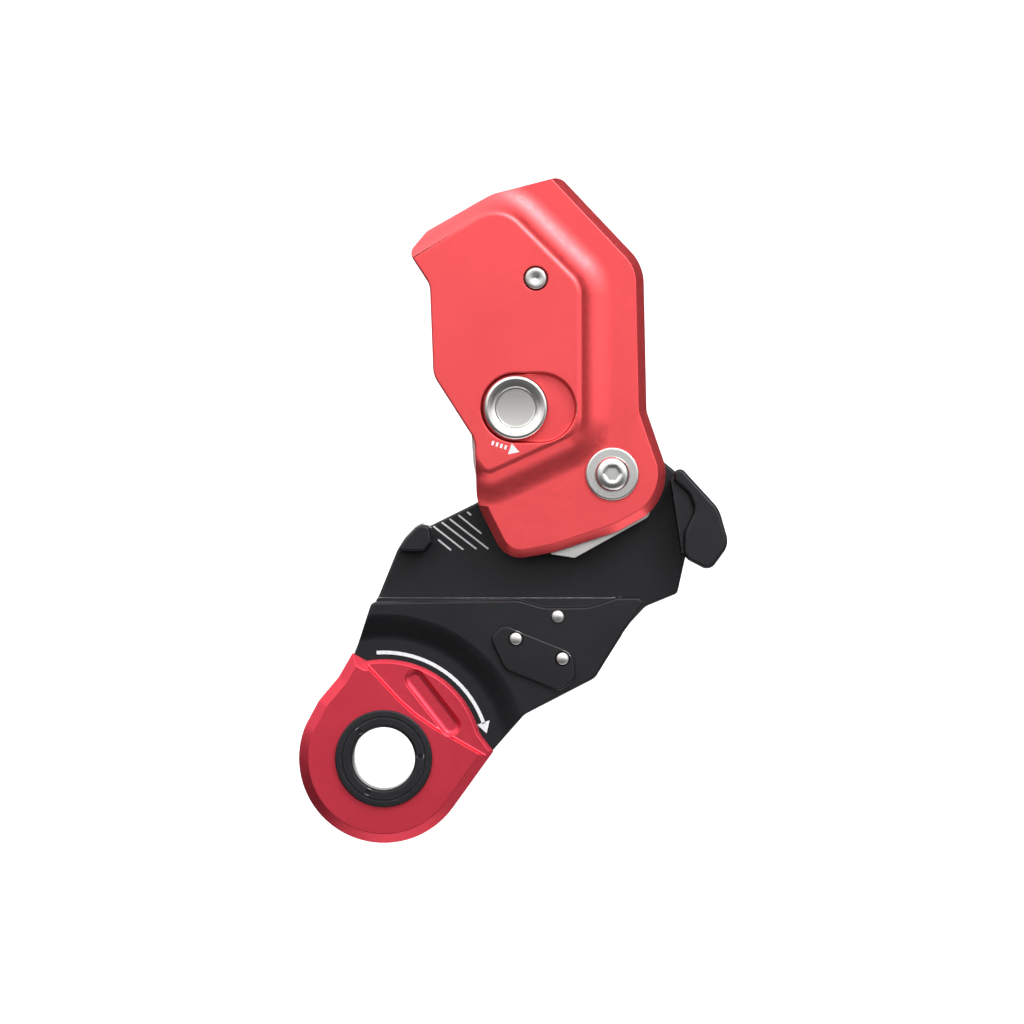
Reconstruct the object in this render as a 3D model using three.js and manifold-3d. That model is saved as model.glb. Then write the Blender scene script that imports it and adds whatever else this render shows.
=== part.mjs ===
// A mechanical ascender and rope-capture pulley for 11 mm rope.
// Millimetres. X runs along the rope, Z is up, and the device's front faces -Y.
// The origin is on the rope's centre line, straight below the head's pivot bolt.

import * as THREE from "three";
import { mergeVertices } from "three/addons/utils/BufferGeometryUtils.js";
import Module from "manifold-3d";

const wasm = await Module();
wasm.setup();

// ---- Driving dimensions ----

const ROPE_RADIUS = 5.5;
const GAP = 0.3; // clearance between pieces that touch

// Centres, as [x, z]
const PIVOT = [0, 26];
const AXLE = [-19.7, 76.2];
const BUTTON = [-24.8, 43];
const EYE = [-58.8, -47.2];
const LATCH_PIN = [-27, 43];
const JAW_RIVET = [-14, -10.7];
const COVER_RIVETS = { upper: [-24.8, -16.4], lower: [-12.8, -21.5] };
const CAM_SCREWS = { upper: [0.5, 45.5], lower: [-30, 24] };

// Layers along Y, from the back to the front
const REAR_CHEEK_BACK = 14;
const REAR_CHEEK_FRONT = 10.7;
const REAR_PLATE_BACK = 10.3;
const REAR_PLATE_FRONT = 6.3;
const CAM_BACK = 5.9;
const CAM_FRONT = -6.2;
const HEAD_BACK = -6.5;
const HEAD_LOW_FRONT = -10.2;
const HEAD_FRONT = -14.5;
const FRAME_FLOOR = -7.6;
const FRAME_FRONT = -9.6;
const LEVER_BACK = FRAME_FLOOR - GAP;
const LEVER_FRONT = -11;
const FAR = 40; // past everything, for the cutting tools

// Sides of round pieces
const SMALL_ROUND = 16;
const MEDIUM_ROUND = 28;
const LARGE_ROUND = 40;

// Frame
const CHANNEL_FLOOR = -ROPE_RADIUS - 0.4;
const DISH = { floorRadius: 31.6, rimRadius: 36.3 };
const EYE_END_RADIUS = 20.5;
const JAW = { left: -24, right: -2, bottom: -13, front: -5.4, back: 5.7, teeth: 14, toothDepth: 0.8 };

// Anchor eye
const EYE_HOLE_RADIUS = 8;
const BUSH_RADIUS = 11.2;
const EYE_BORE_RADIUS = BUSH_RADIUS + GAP;
const NUT_RADIUS = 12.5;
const SPANNER_HOLES = { circle: 9.3, radius: 0.9, depth: 1, angles: [132, 3, 245] };

// Eye lever
const LEVER = { discRadius: 21.9, bladeRadius: 25.5, chamfer: 2.5, chamferDepth: 2.2, bladeFront: -9.7 };
const DETENT = { circle: 17, angle: 60, turn: 75, ballRadius: 1.5, boreRadius: 1.8 };

// Head
const HEAD_CHAMFER = { width: 2.2, depth: 2.1, edgeBreak: 0.5 };
const RAISED_FILLET = 7.9;
const PIVOT_LOBE_RADIUS = 13.8;
const BUTTON_RECESS = { radius: 8.9, travel: 6.4, floor: -11.5 };
const STEM_RADIUS = 1.5;
const BUTTON_RADIUS = 8.3;
const SLEEVE = { radius: 5, bore: 3.3 };
const SLEEVE_BORE_RADIUS = SLEEVE.radius + GAP;
const LATCH_POCKET = { left: -34, right: -6, bottom: 38, top: 48, back: 2 };
const SPRING_POCKET = { radius: 9.4, floor: -2 };

// Sheave
const SHEAVE = { radius: 19.5, halfWidth: 6.2, grooveRadius: 5.2, bore: 8 };
const AXLE_RADII = { bearing: 5, rivet: 2.8, neck: 3.6, tail: 5.6 };

// ---- Shape helpers ----

const radians = (degrees) => (degrees * Math.PI) / 180;

function onCircle([x, z], radius, degrees) {
  return [x + radius * Math.cos(radians(degrees)), z + radius * Math.sin(radians(degrees))];
}

// Points along an arc, both ends included.
function arc(centre, radius, fromDegrees, toDegrees, step = 7) {
  const steps = Math.max(2, Math.ceil(Math.abs(toDegrees - fromDegrees) / step));
  return Array.from({ length: steps + 1 }, (_, i) =>
    onCircle(centre, radius, fromDegrees + ((toDegrees - fromDegrees) * i) / steps),
  );
}

// Saw teeth cut below a straight line, ends included.
function teeth([x0, z0], [x1, z1], count, depth) {
  return Array.from({ length: 2 * count + 1 }, (_, i) => {
    const t = i / (2 * count);
    return [x0 + (x1 - x0) * t, z0 + (z1 - z0) * t + (i % 2 ? depth : 0)];
  });
}

// The points of one corner [x, z, fillet radius] between its two neighbours.
function roundedCorner([x, z, radius = 0], previous, next) {
  if (!radius) return [[x, z]];
  const corner = new THREE.Vector2(x, z);
  const back = new THREE.Vector2(previous[0], previous[1]).sub(corner).normalize();
  const on = new THREE.Vector2(next[0], next[1]).sub(corner).normalize();
  const half = Math.acos(THREE.MathUtils.clamp(back.dot(on), -1, 1)) / 2;
  const centre = back.clone().add(on).normalize().multiplyScalar(radius / Math.sin(half)).add(corner);
  const reach = radius / Math.tan(half);
  const start = back.clone().multiplyScalar(reach).add(corner).sub(centre);
  const end = on.clone().multiplyScalar(reach).add(corner).sub(centre);
  const from = THREE.MathUtils.radToDeg(start.angle());
  const sweep = 180 - THREE.MathUtils.radToDeg(2 * half);
  const side = start.cross(end) > 0 ? 1 : -1;
  return arc([centre.x, centre.y], radius, from, from + side * sweep, 15);
}

// A closed outline in the XZ plane from its corners.
function outline(corners) {
  const count = corners.length;
  const points = corners.flatMap((corner, i) =>
    roundedCorner(corner, corners[(i + count - 1) % count], corners[(i + 1) % count]),
  );
  return new THREE.Shape(points.map(([x, z]) => new THREE.Vector2(x, z)));
}

// A slot with round ends, from one centre to the other.
function slot([x0, z0], [x1, z1], radius) {
  const along = THREE.MathUtils.radToDeg(Math.atan2(z1 - z0, x1 - x0));
  return outline([
    ...arc([x0, z0], radius, along + 90, along + 270, 15),
    ...arc([x1, z1], radius, along - 90, along + 90, 15),
  ]);
}

// ---- Solid helpers ----

function solid(geometry) {
  const bare = geometry.clone();
  bare.deleteAttribute("normal");
  bare.deleteAttribute("uv");
  const merged = mergeVertices(bare, 1e-4);
  const vertProperties = merged.attributes.position.array;
  const triVerts = new Uint32Array(merged.index.array);
  return new wasm.Manifold(new wasm.Mesh({ numProp: 3, vertProperties, triVerts }));
}

function geometryOf(manifold) {
  const { vertProperties, triVerts } = manifold.getMesh();
  const geometry = new THREE.BufferGeometry();
  geometry.setAttribute("position", new THREE.BufferAttribute(vertProperties, 3));
  geometry.setIndex(new THREE.BufferAttribute(triVerts, 1));
  geometry.computeVertexNormals();
  return geometry;
}

// A flat plate with square edges between two Y levels.
function plate(shape, back, front) {
  const geometry = new THREE.ExtrudeGeometry(shape, { depth: back - front, bevelEnabled: false });
  geometry.rotateX(Math.PI / 2);
  geometry.translate(0, back, 0);
  return solid(geometry);
}

// A plate whose front edge is chamfered by width across and depth back.
function chamferedPlate(shape, back, front, width, depth) {
  const spare = 2;
  const geometry = new THREE.ExtrudeGeometry(shape, {
    depth: back + spare - front - depth,
    bevelThickness: depth,
    bevelSize: width,
    bevelOffset: -width,
    bevelSegments: 1,
  });
  geometry.rotateX(Math.PI / 2);
  geometry.translate(0, back + spare, 0);
  return solid(geometry).subtract(block([-200, back, -200], [200, FAR, 200]));
}

function block([x0, y0, z0], [x1, y1, z1]) {
  const geometry = new THREE.BoxGeometry(x1 - x0, y1 - y0, z1 - z0);
  geometry.translate((x0 + x1) / 2, (y0 + y1) / 2, (z0 + z1) / 2);
  return solid(geometry);
}

// A round rod along Y.
function rod([x, z], radius, back, front, segments = MEDIUM_ROUND) {
  const geometry = new THREE.CylinderGeometry(radius, radius, back - front, segments);
  geometry.translate(x, (back + front) / 2, z);
  return solid(geometry);
}

// A turned piece along Y from its profile of [radius, y], in the order that keeps faces outward.
function turned([x, z], profile, segments = LARGE_ROUND) {
  const points = profile.map(([radius, y]) => new THREE.Vector2(radius, y));
  const geometry = new THREE.LatheGeometry(points, segments);
  geometry.translate(x, 0, z);
  return solid(geometry);
}

function ring(centre, inner, outer, back, front, segments = MEDIUM_ROUND) {
  const profile = [[inner, front], [outer, front], [outer, back], [inner, back], [inner, front]];
  return turned(centre, profile, segments);
}

class Helix extends THREE.Curve {
  constructor(start, alongY, radius, length, turns) {
    super();
    Object.assign(this, { start, alongY, radius, length, turns });
  }

  getPoint(t, target = new THREE.Vector3()) {
    const angle = t * this.turns * 2 * Math.PI;
    const across = this.radius * Math.cos(angle);
    const up = this.radius * Math.sin(angle);
    const along = t * this.length;
    const [dx, dy] = this.alongY ? [across, along] : [along, across];
    return target.set(this.start[0] + dx, this.start[1] + dy, this.start[2] + up);
  }
}

function coil(start, alongY, radius, length, turns, wireRadius, stepsPerTurn) {
  const section = new THREE.Shape();
  section.setFromPoints(arc([0, 0], wireRadius, 0, 288, 72).map(([x, y]) => new THREE.Vector2(x, y)));
  const geometry = new THREE.ExtrudeGeometry(section, {
    steps: Math.round(turns * stepsPerTurn),
    bevelEnabled: false,
    extrudePath: new Helix(start, alongY, radius, length, turns),
  });
  return solid(geometry);
}

// ---- Materials ----

const finish = (color, roughness, metalness) => ({ color, roughness, metalness });
const RED = finish(0xd8434d, 0.35, 0.7);
const DARK_RED = finish(0xb93240, 0.35, 0.7);
const BLACK = finish(0x2a2a2e, 0.45, 0.6);
const STEEL = finish(0xb8b8b4, 0.25, 1);
const SPRING_STEEL = finish(0x8f9094, 0.35, 1);
const ALUMINIUM = finish(0xc6c8cc, 0.3, 1);

function mesh(name, manifold, look) {
  const made = new THREE.Mesh(geometryOf(manifold), new THREE.MeshStandardMaterial(look));
  made.name = name;
  return made;
}

// ---- Frame ----

// The lower edge and the eye end, which both plates share, from the right round to the left.
function lowerFrameCorners() {
  return [
    [2.6, -15.2, 10],
    [-4.4, -26.6, 4],
    [-22.6, -36, 5],
    [-31, -45.6, 1],
    onCircle(EYE, EYE_END_RADIUS, -39),
    EYE,
    onCircle(EYE, EYE_END_RADIUS, 150),
    [-66.4, -20.5],
  ];
}

function eyeEnd(back, front) {
  return rod(EYE, EYE_END_RADIUS, back, front, 56);
}

function rivetHoles(radius) {
  const centres = [JAW_RIVET, COVER_RIVETS.upper, COVER_RIVETS.lower];
  return centres.map((centre) => rod(centre, radius, FAR, -FAR, SMALL_ROUND));
}

function cutAll(body, tools) {
  return tools.reduce((left, tool) => left.subtract(tool), body);
}

function rearFrame() {
  const plateShape = outline([
    [-62.4, -9.4, 0],
    [-60.4, -5.4, 1.2],
    [-55.6, 6.4, 1],
    [-50.6, 12.9, 2.5],
    [-47, 12.7, 1],
    [-35.1, 18.6, 4],
    [-9, 37.4, 8],
    [5, 38.4, 9],
    [13.5, 29.4, 3],
    [17.9, 25.8, 1.5],
    [19.6, 5.7, 2],
    [17.2, -5, 1.5],
    [8.9, -8.4, 4],
    ...lowerFrameCorners(),
  ]);
  const noseShape = outline([
    [-55.8, 5.8, 1],
    [-53.4, 9.6, 4],
    [-49.8, 13.4, 3],
    [-47, 12.6, 1.5],
    [-46.2, 8.6, 2.5],
    [-48.4, 5.8, 1.5],
  ]);
  const hornShape = outline([
    [15.9, 26.4, 1.2],
    [17.6, 27.9, 1.6],
    [27.6, 17, 9],
    [30.2, 7.8, 5],
    [25.2, 0.9, 2.6],
    [18.4, 4.4, 3.2],
    [18.5, 11, 5],
    [21.3, 16.8, 3.5],
    [19.8, 20.8, 3],
    [16, 24.2, 1.2],
  ]);
  const wallShape = outline([
    [15.2, 24.4, 0.5],
    [17.3, 26.6, 1],
    [20.2, 22.4, 1],
    [21.4, 16.4, 2],
    [21.8, 5.8, 0],
    [18, 5.8, 0],
  ]);
  const noseFront = -8.2;
  const hornBack = -5.9;
  const hornFront = -9.2;
  const body = plate(plateShape, REAR_PLATE_BACK, REAR_PLATE_FRONT)
    .add(eyeEnd(REAR_PLATE_BACK, REAR_PLATE_FRONT))
    .add(chamferedPlate(noseShape, REAR_PLATE_FRONT + 1, noseFront, 0.6, 0.6))
    .add(plate(wallShape, REAR_PLATE_FRONT + 1, hornBack - 1))
    .add(chamferedPlate(hornShape, hornBack, hornFront, 0.8, 0.8));
  return cutAll(body, [
    rod(PIVOT, SLEEVE_BORE_RADIUS, FAR, 0),
    rod(EYE, EYE_BORE_RADIUS, FAR, 0, LARGE_ROUND),
    ...rivetHoles(1.5),
  ]);
}

function frontFrame() {
  const plateShape = outline([
    [-62, -7, 1.6],
    [-24, -6.4, 6],
    [-17.5, -8.3, 8],
    [-6, -8.2, 10],
    [1.2, -5.8, 4],
    [9.4, -5.8, 1.5],
    ...lowerFrameCorners(),
  ]);
  const webShape = outline([
    [-60.6, CHANNEL_FLOOR, 0.8],
    [5.6, CHANNEL_FLOOR, 0.8],
    ...lowerFrameCorners(),
  ]);
  const webBack = REAR_PLATE_FRONT - GAP;
  const webFront = -5.7;
  const dish = turned(EYE, [
    [0, -FAR],
    [DISH.rimRadius + 20, -FAR],
    [DISH.rimRadius + 0.01, FRAME_FRONT - 0.05],
    [DISH.floorRadius, FRAME_FLOOR],
    [0, FRAME_FLOOR],
  ], 72);
  const pocket = block(
    [JAW.left - GAP, JAW.front - GAP, JAW.bottom - GAP],
    [JAW.right + GAP, FAR, FAR],
  );
  const body = chamferedPlate(plateShape, webFront, FRAME_FRONT, 0.6, 0.6)
    .add(plate(webShape, webBack, webFront - 1))
    .add(eyeEnd(webBack, FRAME_FLOOR));
  return cutAll(body, [
    dish,
    pocket,
    rod(EYE, EYE_BORE_RADIUS, FAR, -FAR, LARGE_ROUND),
    rod(detentCentre(0), DETENT.boreRadius, 1.2, -FAR, SMALL_ROUND),
    ...rivetHoles(1.5),
  ]);
}

function jawInsert() {
  const top = CHANNEL_FLOOR - JAW.toothDepth;
  const shape = outline([
    ...teeth([JAW.left, top], [JAW.right, top], JAW.teeth, JAW.toothDepth),
    [JAW.right, JAW.bottom],
    [JAW.left, JAW.bottom],
  ]);
  return plate(shape, JAW.back, JAW.front).subtract(rod(JAW_RIVET, 1.5, FAR, -FAR, SMALL_ROUND));
}

// A domed rivet through both plates, with its head on a face at headBack.
function rivet(centre, headBack) {
  const shank = 1.2;
  const head = 1.65;
  return turned(centre, [
    [0, headBack - 0.8],
    [head * 0.6, headBack - 0.7],
    [head, headBack - 0.2],
    [head, headBack],
    [shank, headBack],
    [shank, REAR_PLATE_BACK + GAP],
    [2.2, REAR_PLATE_BACK + GAP],
    [1.6, REAR_PLATE_BACK + 1.1],
    [0, REAR_PLATE_BACK + 1.2],
  ], SMALL_ROUND);
}

const COVER_BACK = FRAME_FRONT - GAP;
const COVER_FRONT = COVER_BACK - 1.4;

function coverPlate() {
  const shape = outline([
    [-31.4, -16.4, 2],
    [-28.2, -12.6, 3],
    [-20.6, -15.8, 3],
    [-10, -20, 4],
    [-9.4, -27.2, 3.5],
    [-13.6, -30, 2.5],
    [-27.6, -24.4, 4],
  ]);
  const holes = Object.values(COVER_RIVETS).map((centre) => rod(centre, 1.5, FAR, -FAR, SMALL_ROUND));
  return cutAll(chamferedPlate(shape, COVER_BACK, COVER_FRONT, 0.5, 0.5), holes);
}

// ---- Anchor eye ----

const BUSH_FLANGE_BACK = 12.4;
const NUT_BACK = LEVER_FRONT - GAP;
const NUT_FRONT = NUT_BACK - 1.4;

function eyeBush() {
  const flangeFront = REAR_PLATE_BACK + GAP;
  return turned(EYE, [
    [EYE_HOLE_RADIUS, -2],
    [10, -2],
    [10, LEVER_FRONT + 0.2],
    [BUSH_RADIUS, LEVER_FRONT + 0.2],
    [BUSH_RADIUS, flangeFront],
    [14, flangeFront],
    [14, BUSH_FLANGE_BACK - 0.4],
    [13.6, BUSH_FLANGE_BACK],
    [9.4, BUSH_FLANGE_BACK],
    [EYE_HOLE_RADIUS, BUSH_FLANGE_BACK - 2],
    [EYE_HOLE_RADIUS, -2],
  ], LARGE_ROUND);
}

function eyeNut() {
  const spigot = 9.7;
  const grooves = [10.5, 10.9];
  const body = turned(EYE, [
    [EYE_HOLE_RADIUS, -2.3],
    [EYE_HOLE_RADIUS, NUT_FRONT + 0.8],
    [EYE_HOLE_RADIUS + 0.4, NUT_FRONT],
    [grooves[0], NUT_FRONT],
    [grooves[0], NUT_FRONT + 0.5],
    [grooves[1], NUT_FRONT + 0.5],
    [grooves[1], NUT_FRONT],
    [NUT_RADIUS - 0.4, NUT_FRONT],
    [NUT_RADIUS, NUT_FRONT + 0.4],
    [NUT_RADIUS, NUT_BACK],
    [spigot, NUT_BACK],
    [spigot, -2.3],
    [EYE_HOLE_RADIUS, -2.3],
  ], LARGE_ROUND);
  const floor = NUT_FRONT + SPANNER_HOLES.depth;
  const holes = SPANNER_HOLES.angles.map((angle) => {
    const centre = onCircle(EYE, SPANNER_HOLES.circle, angle);
    return rod(centre, SPANNER_HOLES.radius, floor, -FAR, 12);
  });
  return cutAll(body, holes);
}

function detentCentre(turnDegrees) {
  return onCircle(EYE, DETENT.circle, DETENT.angle - turnDegrees);
}

function ball(centre, radius, y) {
  const geometry = new THREE.SphereGeometry(radius, 14, 8);
  geometry.translate(centre[0], y, centre[1]);
  return solid(geometry);
}

function detentBall() {
  return ball(detentCentre(0), DETENT.ballRadius, FRAME_FLOOR + DETENT.ballRadius - 0.1);
}

function detentSpring() {
  const [x, z] = detentCentre(0);
  return coil([x, -3.9, z], true, 1.1, 4.6, 4, 0.25, 8);
}

// ---- Eye lever ----

function leverOutline() {
  return outline([
    [-66.9, -20.1],
    ...arc(EYE, LEVER.bladeRadius, 100, 15),
    [-30.5, -45.4],
    ...arc(EYE, LEVER.discRadius, -34.8, -203),
    [-75.6, -32.4, 4],
    [-70.4, -26.2, 4],
  ]);
}

// The blade beyond the ridge line, which is lower than the disc.
function bladeRegion() {
  return outline([
    [-69, -17.5],
    [-54.9, -32.6],
    [-50.6, -36.4],
    [-45.5, -39.9],
    [-28, -49.8],
    [-20, -20],
    [-50, -5],
  ]);
}

function eyeLever() {
  const grip = slot([-50.8, -27], [-41.6, -38.8], 2.2);
  const gripFloor = -9;
  const dimples = [0, DETENT.turn].map((turn) => ball(detentCentre(turn), DETENT.ballRadius, -6.9));
  const body = chamferedPlate(leverOutline(), LEVER_BACK, LEVER_FRONT, LEVER.chamfer, LEVER.chamferDepth);
  return cutAll(body, [
    plate(bladeRegion(), LEVER.bladeFront, -FAR),
    plate(grip, gripFloor, -FAR),
    rod(EYE, EYE_BORE_RADIUS + 0.1, FAR, -FAR, LARGE_ROUND),
    ...dimples,
  ]);
}

// ---- Pivot ----

const WASHER_BACK = HEAD_LOW_FRONT - 0.4;
const WASHER_FRONT = WASHER_BACK - 0.8;

function pivotBolt() {
  const headBack = WASHER_FRONT - GAP;
  const headFront = headBack - 2.6;
  const body = turned(PIVOT, [
    [0, headFront],
    [2.8, headFront],
    [4.1, headFront + 0.8],
    [4.5, headFront + 1.8],
    [4.5, headBack],
    [3, headBack],
    [3, 19.8],
    [2.6, 20.2],
    [0, 20.2],
  ], MEDIUM_ROUND);
  const socket = rod(PIVOT, 1.9, headFront + 1.6, -FAR, 6);
  return body.subtract(socket);
}

function pivotSleeve() {
  return ring(PIVOT, SLEEVE.bore, SLEEVE.radius, REAR_CHEEK_BACK + GAP, HEAD_LOW_FRONT - 0.1);
}

function pivotWasher() {
  return turned(PIVOT, [
    [SLEEVE.bore, WASHER_FRONT],
    [6.5, WASHER_FRONT],
    [6.85, WASHER_FRONT + 0.35],
    [6.85, WASHER_BACK],
    [SLEEVE.bore, WASHER_BACK],
    [SLEEVE.bore, WASHER_FRONT],
  ], MEDIUM_ROUND);
}

function rearWasher() {
  return ring(PIVOT, SLEEVE.bore, 7.5, 15.6, 14.6);
}

function pivotNut() {
  return rod(PIVOT, 5.8, 19.4, 15.9, 6).subtract(rod(PIVOT, SLEEVE.bore, FAR, 0));
}

function closingSpring() {
  return coil([PIVOT[0], -1.2, PIVOT[1]], true, 7.3, 6.2, 4.5, 0.55, 12);
}

// ---- Head ----

// The head's right side and bottom, from the crest round to the left side.
function headSideCorners() {
  return [
    [8.1, 79.9, 12],
    [8.9, 42.2, 6],
    ...arc(PIVOT, PIVOT_LOBE_RADIUS, 12, -52),
    [1.5, 11.2, 20],
    [-15, 5.8, 12],
    [-27.4, 3.6, 7],
    [-34.9, 18.5, 15],
    [-35.3, 34.6, 7],
    [-46, 51.3, 7],
    [-46.9, 74.6, 6],
  ];
}

function headOutline() {
  return outline([
    [-52.3, 82.9, 2.6],
    [-47.8, 88.4, 3],
    [-31, 98, 12],
    [-13.4, 102.6, 3.2],
    ...headSideCorners(),
  ]);
}

// The head's outline with its top moved out, so that a chamfer along it misses the top edge.
function overlongHeadOutline() {
  return outline([[-60, 82.9], [-60, 107], [-17.5, 107], ...headSideCorners()]);
}

// The raised plate runs off the head's left side, where only the edge chamfer bounds it.
function raisedCorners() {
  return [
    [-28.9, 96.4, 9.5],
    [-7.6, 75.2, 8],
    [-7.5, 36.4, 7],
    [-32.6, 24.9, 1.5],
    [-68.3, 72.6],
  ];
}

// What lies outside the raised plate, from its foot up, with a hollow fillet along its side.
function outsideRaisedPlate() {
  const shape = outline([[-110, -40], [60, -40], [60, 150], [-110, 150]]);
  shape.holes.push(outline(raisedCorners()));
  const rise = HEAD_LOW_FRONT - HEAD_FRONT;
  const geometry = new THREE.ExtrudeGeometry(shape, {
    depth: 5,
    bevelThickness: rise,
    bevelSize: RAISED_FILLET,
    bevelOffset: -RAISED_FILLET,
    bevelSegments: 5,
  });
  geometry.rotateX(Math.PI / 2);
  geometry.translate(0, HEAD_FRONT, 0);
  return solid(geometry);
}

// The raised plate and its fillet only, so that the low zone keeps its own chamfer.
function raisedFootprint() {
  const shape = outline([[-110, -40], [60, -40], [60, 150], [-110, 150]]);
  shape.holes.push(outline(raisedCorners()));
  const geometry = new THREE.ExtrudeGeometry(shape, {
    depth: 20,
    bevelThickness: 0.5,
    bevelSize: 0.5,
    bevelOffset: -RAISED_FILLET,
    bevelSegments: 1,
  });
  geometry.rotateX(Math.PI / 2);
  return solid(geometry);
}

function buttonTravelSlot(radius) {
  return slot(BUTTON, [BUTTON[0] + BUTTON_RECESS.travel, BUTTON[1]], radius);
}

function camScrewHoles() {
  return Object.values(CAM_SCREWS).map((centre) => rod(centre, 1.8, FAR, HEAD_BACK - 2.5, SMALL_ROUND));
}

function frontCheek() {
  const { width, depth, edgeBreak } = HEAD_CHAMFER;
  const low = chamferedPlate(headOutline(), HEAD_BACK, HEAD_LOW_FRONT, edgeBreak, edgeBreak)
    .intersect(chamferedPlate(overlongHeadOutline(), HEAD_BACK, HEAD_LOW_FRONT, width, depth));
  const high = cutAll(chamferedPlate(headOutline(), HEAD_BACK, HEAD_FRONT, edgeBreak, edgeBreak), [
    outsideRaisedPlate(),
    raisedFootprint(),
  ]);
  return cutAll(low.add(high), [
    plate(buttonTravelSlot(BUTTON_RECESS.radius), BUTTON_RECESS.floor, -FAR),
    plate(buttonTravelSlot(STEM_RADIUS + GAP), 0, -FAR),
    rod(PIVOT, SLEEVE_BORE_RADIUS, 0, -FAR),
    rod(AXLE, AXLE_RADII.rivet + GAP, 0, -FAR, SMALL_ROUND),
    ...camScrewHoles(),
  ]);
}

function cam() {
  const shape = outline([
    [9.4, 14.9, 2],
    [-9.6, 4.3, 0.8],
    ...teeth([-15.5, 5.2], [-27.1, 6.2], 8, 0.6),
    [-29, 7.8, 2],
    [-33.4, 17.5, 6],
    [-35.8, 29, 3],
    [-36.3, 36.5, 1.5],
    [-33, 50.5, 2],
    [3.5, 50.5, 3],
    [8.4, 36.5, 8],
    [12.2, 25, 6],
  ]);
  const pocket = LATCH_POCKET;
  const counterbores = Object.values(CAM_SCREWS).map((centre) => rod(centre, 3.1, FAR, 3.2, SMALL_ROUND));
  const pinSlot = slot(LATCH_PIN, [LATCH_PIN[0] + BUTTON_RECESS.travel, LATCH_PIN[1]], 2.4);
  return cutAll(plate(shape, CAM_BACK, CAM_FRONT), [
    rod(PIVOT, SLEEVE_BORE_RADIUS, FAR, -FAR),
    rod(PIVOT, SPRING_POCKET.radius, FAR, SPRING_POCKET.floor, LARGE_ROUND),
    block([pocket.left, -FAR, pocket.bottom], [pocket.right, pocket.back, pocket.top]),
    plate(pinSlot, FAR, 0),
    ...camScrewHoles(),
    ...counterbores,
  ]);
}

function camScrew(centre) {
  const body = turned(centre, [
    [0, HEAD_BACK - 2.2],
    [1.5, HEAD_BACK - 2.2],
    [1.5, 3.5],
    [2.8, 3.5],
    [2.8, 5.5],
    [0, 5.5],
  ], SMALL_ROUND);
  return body.subtract(rod(centre, 1.3, FAR, 4.2, 6));
}

// ---- Sheave ----

function sheave() {
  const { radius, halfWidth, grooveRadius, bore } = SHEAVE;
  const lip = 0.3;
  const groove = arc([radius - lip, 0], grooveRadius, -90, -270, 22.5);
  return turned(AXLE, [
    [bore, -halfWidth],
    [radius - lip, -halfWidth],
    [radius, -halfWidth + lip],
    ...groove,
    [radius, halfWidth - lip],
    [radius - lip, halfWidth],
    [bore, halfWidth],
    [bore, -halfWidth],
  ], LARGE_ROUND);
}

function sheaveBearing() {
  return ring(AXLE, AXLE_RADII.bearing + GAP, SHEAVE.bore - GAP, 5.9, -5.9);
}

function sheaveAxle() {
  const { bearing, rivet: rivetRadius, neck, tail } = AXLE_RADII;
  const rivetEnd = HEAD_FRONT - 0.8;
  return turned(AXLE, [
    [0, rivetEnd + 0.5],
    [0.7, rivetEnd + 0.4],
    [1.2, rivetEnd],
    [2.4, rivetEnd],
    [rivetRadius, rivetEnd + 0.4],
    [rivetRadius, CAM_FRONT],
    [bearing, CAM_FRONT],
    [bearing, REAR_PLATE_FRONT],
    [neck, REAR_PLATE_FRONT],
    [neck, REAR_CHEEK_BACK + GAP],
    [tail, REAR_CHEEK_BACK + GAP],
    [tail - 0.3, REAR_CHEEK_BACK + 1.8],
    [0, REAR_CHEEK_BACK + 1.8],
  ], MEDIUM_ROUND);
}

// ---- Rear cheek ----

// The open hook slot, an arc about the pivot, that lets the cheek swing off the axle.
function hookSlot() {
  const swing = Math.hypot(AXLE[0] - PIVOT[0], AXLE[1] - PIVOT[1]);
  const atAxle = THREE.MathUtils.radToDeg(Math.atan2(AXLE[1] - PIVOT[1], AXLE[0] - PIVOT[0]));
  const half = AXLE_RADII.neck + GAP;
  const outside = 155;
  const band = outline([
    ...arc(PIVOT, swing + half, atAxle, outside, 5),
    ...arc(PIVOT, swing - half, outside, atAxle, 5),
  ]);
  return plate(band, FAR, 0).add(rod(AXLE, half, FAR, 0));
}

function rearCheek() {
  const shape = outline([
    [-44.5, 73, 6],
    [-44.5, 86.6, 4],
    [-29.5, 95.5, 8],
    [-14.5, 99.3, 3],
    [5.4, 78.5, 12],
    [6.2, 42, 8],
    ...arc(PIVOT, 11.5, 15, -115),
    [-31.5, 27, 5],
    [-33.5, 36, 7],
    [-43.8, 52, 7],
  ]);
  const padRadius = 17.4;
  const body = plate(shape, REAR_CHEEK_BACK, REAR_CHEEK_FRONT)
    .add(rod(AXLE, padRadius, REAR_CHEEK_FRONT + 1, REAR_PLATE_FRONT + GAP, LARGE_ROUND));
  return cutAll(body, [
    hookSlot(),
    rod(PIVOT, SLEEVE_BORE_RADIUS, FAR, 0),
    rod(LATCH_PIN, 2.4, 12.4, 0, SMALL_ROUND),
  ]);
}

// ---- Release button ----

function releaseButton() {
  const back = BUTTON_RECESS.floor - GAP;
  const front = -15.6;
  return turned(BUTTON, [
    [0, front + 1.1],
    [5, front + 1.1],
    [6.4, front + 0.4],
    [7.2, front],
    [BUTTON_RADIUS - 0.4, front + 0.2],
    [BUTTON_RADIUS, front + 0.8],
    [BUTTON_RADIUS, back - 0.3],
    [BUTTON_RADIUS - 0.3, back],
    [0, back],
  ], LARGE_ROUND);
}

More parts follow.
